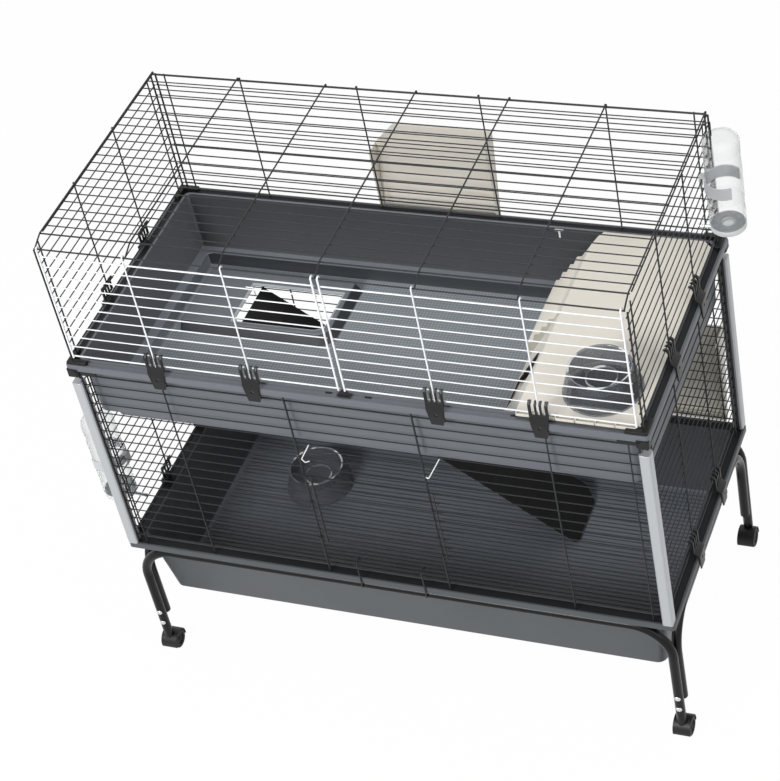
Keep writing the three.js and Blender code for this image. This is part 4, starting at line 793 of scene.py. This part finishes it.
# Upper panels and roof: the same black wire. The roof's columns bend down to the hinge wire at the front,
# which carries both doors.
upper_wire_bottom = 840.3
upper_first_row = 862
roof_column_z = 1143
roof_row_z = 1140.1
column_top = 1138.2
curl_height = 1140
upper_reach_x = 572.3
upper_heights = wire_rows(upper_first_row, 1137)
upper_back_edge = 569.9
back_upper = welded_panel(plain_rows(upper_heights, upper_reach_x), columns(
    upper_back_edge, (380, 127), upper_wire_bottom, column_top))
for place in both_sides((380, 127)):
    curled_end(back_upper, (place, -layer_spacing, curl_height))
add_wirework("back_grille_upper", back_upper, "upper_panel_back", 0, panel_y, 2)
side_end = 270.6
side_inner = side_end - end_spacing
short_reach = side_inner - end_spacing
high_rows = 1124
for side, sign in (("left", -1), ("right", 1)):
    rows = []
    for height, start, end, radius in plain_rows(upper_heights, side_end + stout_radius):
        if height > high_rows:
            start, end = (-short_reach, end) if sign > 0 else (start, short_reach)
        rows.append((height, start, end, radius))
    low_ends = {-sign * side_end: 1124.2, -sign * side_inner: 1132.9}
    side_upper = welded_panel(rows, columns(side_end, (88,), upper_wire_bottom, column_top, low_ends=low_ends))
    for place in both_sides((88,)):
        curled_end(side_upper, (place, -layer_spacing, curl_height))
    add_wirework(side + "_grille_upper", side_upper, "upper_panel_" + side, sign * panel_x, 0, sign)
hinge_y = -273
hinge_z = 1129
roof_front = -243
roof_bay = 191
roof_first_row = roof_front + 2.4
roof_back = 270.6
roof = bmesh.new()
roof_steps = 21
for step in range(roof_steps + 1):
    row_y = roof_first_row + (roof_back - roof_first_row) * step / roof_steps
    radius = column_radius if step in (0, roof_steps) else row_radius
    level_wire(roof, -panel_x, panel_x, row_y, roof_row_z, radius)
level_wire(roof, -panel_x, panel_x, hinge_y, hinge_z, column_radius)
for column_x in (bay * roof_bay for bay in range(-3, 4)):
    bent_bar(roof, [(column_x, panel_y, roof_column_z), (column_x, roof_front, roof_column_z),
                    (column_x, hinge_y, hinge_z)], column_radius, 8, 8, 3)
    curled_end(roof, (column_x, panel_y, roof_column_z - 1.2))
add_wirework("roof_grille", roof, "roof_panel")

# Doors: white enamelled wire. Each column ends in an open hook over the hinge wire, so the doors swing up.
hook_radius = 3.9
hook_sweep = math.radians(210)
door_bottom = 859.6
door_columns_y = hinge_y - hook_radius
door_rows_y = door_columns_y + layer_spacing
door_overhang = 2.4
upper_door_heights = wire_rows(upper_first_row, 1112)
wire_white = finish("white_dipped_wire_enamel", "#e6e8ea", 0.3, grain=(3, 0.08, 0.3))
column_sets = {"left": [-568, -387, -186, -6.5], "right": [6.5, 186, 387, 568]}
for side, places in column_sets.items():
    leaf = bmesh.new()
    for height in upper_door_heights:
        radius = column_radius if height in (upper_door_heights[0], upper_door_heights[-1]) else row_radius
        level_wire(leaf, places[0] - door_overhang, places[-1] + door_overhang, door_rows_y, height, radius)
    for place in places:
        radius = stout_radius if place in (places[0], places[-1]) else column_radius
        column_foot = Matrix.Translation((place, door_columns_y, door_bottom))
        face = drawn_on(leaf, first_disc(leaf, radius, 8, column_foot), (0, 0, hinge_z - door_bottom))
        bmesh.ops.spin(leaf, geom=[face], cent=(place, hinge_y, hinge_z), axis=(-1, 0, 0), angle=hook_sweep,
                       steps=12, use_merge=False)
    add_piece(side + "_door_grille", leaf, wire_white, "door_" + side, "door_" + side)

# Comb clips: tough grey-black moulded combs with four crooked prongs that turn on a row of wire, and a catch
# that snaps under the rim. They come out of the mould with a fine matt grain.
clip_black = finish("dark_grey_moulded_clip", "#161616", 0.38, grain=(1.2, 0.1, 0.4), gloss=0.3)
clip_nodes = ["front_clip_%d" % number for number in (1, 2, 3, 4)]
clip_nodes += [storey + "_clip_" + side + "_" + end
               for storey in ("upper", "lower") for side in ("left", "right") for end in ("front", "back")]
for node in clip_nodes:
    add_piece("comb_" + node, copied_solid(node), clip_black, node, node, 0.5)


# House: a hollow corner house in warm white moulded plastic. Its left side slopes down from the roof plate,
# with a stair at the back and an arched doorway. Along the front the plate ends in a row of open cells, and a
# round hole in it lights the inside.
def ivory_finish(name, colour, roughness, dark, light, patch_mm):
    """Warm white moulded plastic, with the same fine grain in its own tone and in its tones of painted light and
    shade.
    """
    return finish(name, colour, roughness, (dark, light, patch_mm), (2.5, 0.1, 0.3))


def box(shape, low, high):
    block(shape, (Vector(high) + Vector(low)) / 2, Vector(high) - Vector(low))


def pierced_plate(shape, outer, inner, thickness):
    """A flat plate with an opening, given by the corners of both outlines and the way to its far side."""
    edges = add_loop(shape, outer)[1] + add_loop(shape, inner)[1]
    filled = bmesh.ops.triangle_fill(shape, edges=edges, use_beauty=True, use_dissolve=False)["geom"]
    thicken(shape, [part for part in filled if isinstance(part, bmesh.types.BMFace)], thickness)


ivory = ivory_finish("warm_white_polypropylene", "#e0dbd1", 0.42, "#dcd7cc", "#e4dfd5", 120)
# The side tone is lighter as painted light; the inside and cell tones are darker as painted shade.
house_finishes = {
    "outside": ivory,
    "side": ivory_finish("warm_white_house_side_painted_light", "#efebe2", 0.42, "#ebe7dd", "#f3efe6", 120),
    "inside": ivory_finish("warm_white_in_shade", "#2a2927", 0.6, "#252422", "#302f2c", 60),
    "cells": ivory_finish("warm_white_cell_floor_painted_shade", "#b3aea3", 0.5, "#aca79c", "#bab5aa", 60),
}
plate_left, plate_right = 336, 569
plate_front, plate_back = -260, 252
plate_top, plate_foot = 850, 843.6
wall_top = plate_foot + 0.3
house_wall = 3.5
house_left, house_right = 240, 556
house_front, house_back = -225, 228
house_bottom, ledge_foot = 677.3, 707.3
ledge_left = 500
slope_foot = Vector((house_left, 0, 691))
slope_head = Vector((plate_left, 0, plate_foot))
bowl_place = Vector((477, -181, 850.3))
bowl_hole_radius = 70
hole_steps = 64
hole_corners = []
for step in range(hole_steps):
    turn = math.tau * step / hole_steps
    hole_corners.append((bowl_place.x + math.cos(turn) * bowl_hole_radius,
                         bowl_place.y + math.sin(turn) * bowl_hole_radius, plate_top))
house_shape = bmesh.new()
plate_outline = [(plate_left, plate_front), (plate_right, plate_front), (plate_right, 236), (553, plate_back),
                 (351, plate_back), (342.5, 236), (plate_left, 208)]
pierced_plate(house_shape, [(x, y, plate_top) for x, y in plate_outline], hole_corners,
              (0, 0, plate_foot - plate_top))
up_slope = (slope_head - slope_foot).normalized()
inward = Vector((up_slope.z, 0, -up_slope.x)) * house_wall
arch_y, arch_height, arch_radius, arch_sill = -72, 88, 42, 5
arch_steps = 20
arch_outline = [(-arch_radius, arch_sill), (arch_radius, arch_sill)]
for step in range(arch_steps + 1):
    turn = math.pi * step / arch_steps
    arch_outline.append((math.cos(turn) * arch_radius, arch_height + math.sin(turn) * arch_radius))
arch = [slope_foot + Vector((0, arch_y + y, 0)) + up_slope * height for y, height in arch_outline]
side_outline = [(slope_foot, house_front), (slope_foot, house_back), (slope_head, house_back),
                (slope_head, house_front)]
pierced_plate(house_shape, [place + Vector((0, y, 0)) for place, y in side_outline], arch, inward)
stair_front = 40
stair_profile = [(house_left, slope_foot.z), (240, 704), (245, 734), (255, 736), (262, 757), (272, 759),
                 (280, 779), (290, 781), (297, 801), (307, 803), (328.8, 832.9), (plate_left, plate_foot)]
prism(house_shape, [(x, stair_front, z) for x, z in stair_profile], (0, house_back - stair_front, 0))
box(house_shape, (house_left, house_front, house_bottom), (258, house_back, slope_foot.z))
gable = [(house_left, house_bottom), (ledge_left, house_bottom), (ledge_left, ledge_foot), (house_right, ledge_foot),
         (house_right, wall_top), (plate_left, wall_top), (house_left, slope_foot.z)]
back_inside, right_inside = house_back - house_wall, house_right - house_wall
for gable_y in (house_front - house_wall, back_inside):
    prism(house_shape, [(x, gable_y, z) for x, z in gable], (0, house_wall, 0))
box(house_shape, (right_inside, house_front, ledge_foot), (house_right, back_inside, wall_top))
cell_front = -271.5
cell_count = 6
cell_wall = 2
cell_pitch = 37.5
cell_floor = plate_foot + 1.4
cells_end = plate_left + cell_count * cell_pitch
box(house_shape, (plate_left, cell_front, plate_foot), (cells_end, plate_front, cell_floor))
box(house_shape, (plate_left, cell_front, plate_foot), (cells_end, cell_front + cell_wall, plate_top))
for cell in range(cell_count + 1):
    cell_x = plate_left + cell * cell_pitch
    box(house_shape, (cell_x, cell_front, plate_foot), (cell_x + cell_wall, plate_front, plate_top))
bmesh.ops.recalc_face_normals(house_shape, faces=house_shape.faces[:])
for face in house_shape.faces:
    middle = face.calc_center_median()
    is_inside = (is_over(middle, (house_left + 4.1, right_inside, house_front, back_inside), 0.1)
                 and middle.z < plate_foot + 0.1)
    faces_inward = face.normal.z < -0.5 or face.normal.x > 0.5 or abs(face.normal.y) > 0.5 or middle.x > 550
    on_stair_front = face.normal.y < -0.5 and abs(middle.y - stair_front) < 0.5
    on_cell_floor = face.normal.z > 0.9 and abs(middle.z - cell_floor) < 0.1 and middle.y < plate_front
    # The cells' floors take the darker cell tone: painted shade down in the cells.
    region = "cells" if on_cell_floor else "outside"
    # The sloping side's faces take the lighter side tone: painted light.
    if face.normal.x < -0.5 and middle.x < plate_left and middle.z > slope_foot.z:
        region = "side"
    # Faces inside the house take the near-black tone: painted shade.
    if is_inside and faces_inward:
        region = "inside"
    # The stair's front takes the darker cell tone: painted shade.
    if on_stair_front:
        region = "cells"
    give(face, house_finishes, region)
add_piece("corner_house", house_shape, house_finishes, "house", edge_mm=0.6)

# Hay racks: the same warm white plastic, a leaning trough with plain cheeks. The right cheek runs on as a small hook
# over a row of the back wires.
rack_half = 127.5
rack_height = 225
rack_front = 284.5
rack_foot = 296.5
rack_back = 329.5
rack_wall = 3
rack_cut = 45
rack_sill = 18
hook_front = 268.4
hook_inside = hook_front + 2.7
hook_drop = 12
rack_inner_foot = rack_foot - rack_wall
rack_inner_back = rack_back - rack_wall
rack_cut_back = rack_back - rack_cut * (rack_back - rack_foot) / rack_height
for storey, rack_x, rack_top in (("upper", -9.5, 1016.9), ("lower", 420, 564.9)):
    left, right, foot = rack_x - rack_half, rack_x + rack_half, rack_top - rack_height
    inner_left, inner_right = left + rack_wall, right - rack_wall
    cut_top, hook_low, hook_top = rack_top - rack_cut, rack_top - hook_drop, rack_top - rack_wall
    rack = bmesh.new()
    prism(rack, [(left, rack_foot, foot), (right, rack_foot, foot), (right, rack_back, rack_top),
                 (left + rack_cut, rack_back, rack_top), (left, rack_cut_back, cut_top)], (0, -rack_wall, 0))
    left_cheek = [(rack_front, foot), (rack_inner_foot, foot), (rack_cut_back - rack_wall, cut_top),
                  (rack_front, cut_top)]
    right_cheek = [(rack_front, foot), (rack_inner_foot, foot), (rack_inner_back, rack_top), (hook_front, rack_top),
                   (hook_front, hook_low), (hook_inside, hook_low), (hook_inside, hook_top), (rack_front, hook_top)]
    for cheek_x, cheek in ((left, left_cheek), (inner_right, right_cheek)):
        prism(rack, [(cheek_x, y, z) for y, z in cheek], (rack_wall, 0, 0))
    box(rack, (inner_left, rack_front, foot), (inner_right, rack_inner_foot, foot + rack_wall))
    box(rack, (inner_left, rack_front, foot + rack_wall), (inner_right, rack_front + rack_wall, foot + rack_sill))
    add_piece("rack_trough_" + storey, rack, ivory, "hay_rack_" + storey, edge_mm=0.8)


# Bowls: two alike, moulded of smoky clear polystyrene with a wide skirt and a shallow dish in it. Their rims and
# dish rings carry painted glints in patches. One stands over the hole of the house's roof, one on the lower floor.
def clear_plastic(name, face_tint, edge_tint, roughness, ior, clearness, cover):
    """Clear plastic as thin walls of it show: see-through, a little darker where the wall is seen edge on, and
    uneven where it flowed in its mould."""
    material, tree, shader = new_material(name, face_tint, roughness, ior=ior)
    shader.inputs["Transmission Weight"].default_value = clearness
    shader.inputs["Alpha"].default_value = cover
    edge_on = add_node(tree, "LayerWeight", {"Blend": 0.3}).outputs["Facing"]
    tint = add_node(tree, "Mix", {0: edge_on, 6: linear(face_tint), 7: linear(edge_tint)}, data_type="RGBA")
    tree.links.new(tint.outputs[2], shader.inputs["Base Color"])
    place = add_node(tree, "TexCoord").outputs["Object"]
    flow = add_node(tree, "TexNoise", {"Vector": place, "Scale": flow_per_metre, "Detail": 1})
    bump = add_node(tree, "Bump", {"Height": flow.outputs[0], "Distance": 0.3 * mm, "Strength": 0.3})
    tree.links.new(bump.outputs[0], shader.inputs["Normal"])
    return material


flow_per_metre = 60
glint_mm = 34
bowl_clear = clear_plastic("smoky_polystyrene", "#a4a8ae", "#9a9ea4", 0.06, 1.1, 0.84, 0.72)
# The rims' beads and the dish rings are greyer and less clear, with painted glints: near-white patches where a noise
# rises past a threshold.
bowl_edge_glints, edge_tree, edge_shader = new_material("polystyrene_edge_painted_glints", "#8c9095", 0.12)
edge_shader.inputs["Alpha"].default_value = 0.75
edge_place = add_node(edge_tree, "TexCoord").outputs["Object"]
glint_noise = add_node(edge_tree, "TexNoise", {"Vector": edge_place, "Scale": 1 / (glint_mm * mm), "Detail": 0})
glint_mask = add_node(edge_tree, "MapRange", {"Value": glint_noise.outputs[0], "From Min": 0.5, "From Max": 0.58})
glint_tones = add_node(edge_tree, "Mix", {
    0: glint_mask.outputs[0], 6: linear("#74787d"), 7: linear("#f2f3f4")}, data_type="RGBA")
edge_tree.links.new(glint_tones.outputs[2], edge_shader.inputs["Base Color"])
bowl_finishes = {"wall": bowl_clear, "edge": bowl_edge_glints}
bowl_profile = [
    (0, 25.6), (0, 27), (27.5, 27), (28.4, 29.8), (30.2, 29.8), (31, 27), (47, 27), (50, 28.4), (56, 54),
    (57, 55.4), (58.6, 56), (60, 54.8), (60.3, 53), (74, 3.6), (75, 2.4), (75, 0.4), (74, 0), (72.6, 0.4),
    (58.2, 52), (57, 50.5), (51.2, 27.4), (48.6, 25.6),
]
floor_place = Vector((-338, 107, 172.7))
for name, node, place in (("house_bowl", "bowl_house", bowl_place), ("floor_bowl", "bowl_floor", floor_place)):
    bowl = bmesh.new()
    turned(bowl, bowl_profile, upright, place, 64)
    for face in bowl.faces:
        middle = face.calc_center_median() - place
        on_dish_ring = 26.9 < middle.z < 29.9 and 27.6 < middle.xy.length < 30.8
        give(face, bowl_finishes, "edge" if middle.z > 54.5 or on_dish_ring else "wall")
    add_piece(name, bowl, bowl_finishes, node, node, sharp_angle=50)

# Water bottles: clear blown bottles that stand upside down in a wide pale cap with a steel spout, each held
# by a springy open ring hooked on the side wires.
bottle_clear = clear_plastic("clear_blown_bottle", "#ffffff", "#8e9396", 0.02, 1.02, 1, 0.5)
cap_grey = finish("pale_grey_fitting", "#b9bcbe", 0.42, grain=(1.5, 0.08, 0.3))
cap_pale = finish("pale_ribbed_cap", "#d9dcdd", 0.4, grain=(1.5, 0.08, 0.3))
cap_finishes = {"wall": cap_pale, "seal": finish("grey_cap_seal", "#9a9ea0", 0.5, ("#7c8082", "#b4b8ba", 9))}
spout_steel = finish("stainless_spout", "#c9cbcd", 0.22, grain=(1, 0.03, 0.3), metallic=1.0)
bottle_profile = [
    (11.4, 10.4), (13, 10.4), (13, 17.2), (31, 17.4), (34.2, 19.2), (35, 23), (35, 73), (34.2, 74.5),
    (34.2, 77), (35, 78.5), (35, 180), (34.2, 181.5), (34.2, 184), (35, 185.5), (35, 203), (34, 209),
    (30, 214.5), (24, 217.7), (14, 218.3), (0, 216.5), (0, 215), (14, 216.8), (23.4, 216.2), (29, 213),
    (32.6, 208), (33.4, 202.6), (33.4, 23.6), (32.4, 20.6), (29, 19), (11.4, 18.8),
]
cap_profile = [(0, 4.3), (29, 4.3), (32.6, 5.6), (33.6, 8), (33.6, 15.6), (32.8, 16.8), (13.4, 16.8), (13.4, 10),
               (0, 10)]
bottle_sides = 48
bottle_x = 615.5
cap_rib_place = (33.6, 0, 11)
cap_rib_size = (1.2, 1.6, 8, 1)
spout_reach = 59.5
ring_radius = 36.8
ring_wall = 2.6
ring_low, ring_high = 96, 122
ring_sweep = math.radians(250)
ring_start = math.pi - ring_sweep / 2
ring_inner, ring_outer = ring_radius - ring_wall / 2, ring_radius + ring_wall / 2
ring_section = [(ring_inner, ring_low), (ring_outer, ring_low), (ring_outer, ring_high), (ring_inner, ring_high)]
clasp_x = -46.8
clasp_half = 8
clasp_wall = 3
for storey, sign, bottle_y, spout_z in (("upper", 1, 213, 920), ("lower", -1, -215, 418)):
    axis_place = Vector((sign * bottle_x, bottle_y, spout_z))
    body = "bottle_" + storey
    bottle = bmesh.new()
    turned(bottle, bottle_profile, upright, axis_place, bottle_sides)
    add_piece("water_bottle_" + storey, bottle, bottle_clear, body, body, sharp_angle=50)
    cap = bmesh.new()
    turned(cap, cap_profile, upright, axis_place, bottle_sides)
    for face in cap.faces:
        give(face, cap_finishes, "seal" if face.calc_center_median().z > spout_z + 16.7 else "wall")
    for rib in range(bottle_sides):
        turn = Matrix.Rotation(math.tau * rib / bottle_sides, 4, "Z")
        bmesh.ops.create_cube(cap, size=1, matrix=Matrix.Translation(axis_place) @ turn
                              @ Matrix.Translation(cap_rib_place) @ Matrix.Diagonal(cap_rib_size))
    add_piece("bottle_cap_ribbed_" + storey, cap, cap_finishes, "bottle_cap_" + storey, body)
    spout = bmesh.new()
    spout_corners = [(0, 0, 7), (0, 0, 3.2), (-sign * spout_reach, 0, 0.4)]
    bent_bar(spout, [axis_place + Vector(corner) for corner in spout_corners], 3.8, 3, 16, 4)
    add_piece("spout_" + storey, spout, spout_steel, body=body)
    holder = bmesh.new()
    swept(holder, [(math.cos(ring_start) * r, math.sin(ring_start) * r, z) for r, z in ring_section],
          upright, ring_sweep, 30)
    box(holder, (clasp_x, -clasp_half, ring_high - clasp_wall), (-36, clasp_half, ring_high))
    box(holder, (clasp_x, -clasp_half, ring_low), (clasp_x + clasp_wall, clasp_half, ring_high - clasp_wall))
    holder.transform(Matrix.Translation(axis_place) @ Matrix.Rotation(0 if sign > 0 else math.pi, 4, "Z"))
    add_piece("bottle_holder_" + storey, holder, cap_grey, "bottle_cradle_" + storey, edge_mm=0.6)

# Rim fittings: two black wire hooks over the lower rim, the black foot between the doors, black feet in the upper
# rim's corners, black boxes as painted shade in the slots along its front, a white peg at the back and the wire that
# hangs the bottle.
hook_corners = [(-268.7, 377), (-268.7, 388), (-286.6, 388), (-286.6, 316)]
hook_wire_radius = 1.5
hook_bend = (3, 10, 4)
for number, hook_x in ((1, -60), (2, 79)):
    hook = bmesh.new()
    bent_bar(hook, [(hook_x, y, z) for y, z in hook_corners], hook_wire_radius, *hook_bend)
    add_wirework("rim_wire_hook_%d" % number, hook, "rim_hook_%d" % number)
add_piece("foot_between_doors", copied_solid("middle_foot"), fitting_black, "middle_foot",
          edge_mm=0.8)
corner_feet = bmesh.new()
foot_reach, foot_width, foot_low, foot_high = 42, 11, 841, 849
foot_out_x, foot_out_y = 586.5, 280.5
foot_outline = [(0, 0), (-foot_reach, 0), (-foot_reach, -foot_width), (-foot_width, -foot_width),
                (-foot_width, -foot_reach), (0, -foot_reach)]
for sign_x, sign_y in corners.values():
    prism(corner_feet, [(sign_x * (foot_out_x + x), sign_y * (foot_out_y + y), foot_low) for x, y in foot_outline],
          (0, 0, foot_high - foot_low))
add_piece("rim_corner_feet", corner_feet, fitting_black, edge_mm=0.8)
# The slots are not cut: black boxes on the channel floor paint the shade in them.
slot_shades = bmesh.new()
slot_half = 7
channel_floor = upper_rim_top - channel_depth
for slot_x in (-34, 46, 333):
    box(slot_shades, (slot_x - slot_half, -270, channel_floor - 0.5), (slot_x + slot_half, -265, channel_floor + 0.6))
add_piece("rim_slot_shades", slot_shades, fitting_black)
peg = bmesh.new()
box(peg, (246, 257, 836), (264, 260.6, 840))
box(peg, (253, 257, 820), (257, 260.6, 836))
add_piece("wall_peg", peg, cap_pale, edge_mm=0.5)
hanger = bmesh.new()
hanger_corners = [(577.5, 230, 1116), (577.5, 232, 1142.6), (588, 246, 1142.6), (588, 246, 1110)]
bent_bar(hanger, hanger_corners, 1.3, *hook_bend)
add_wirework("bottle_hanger", hanger)
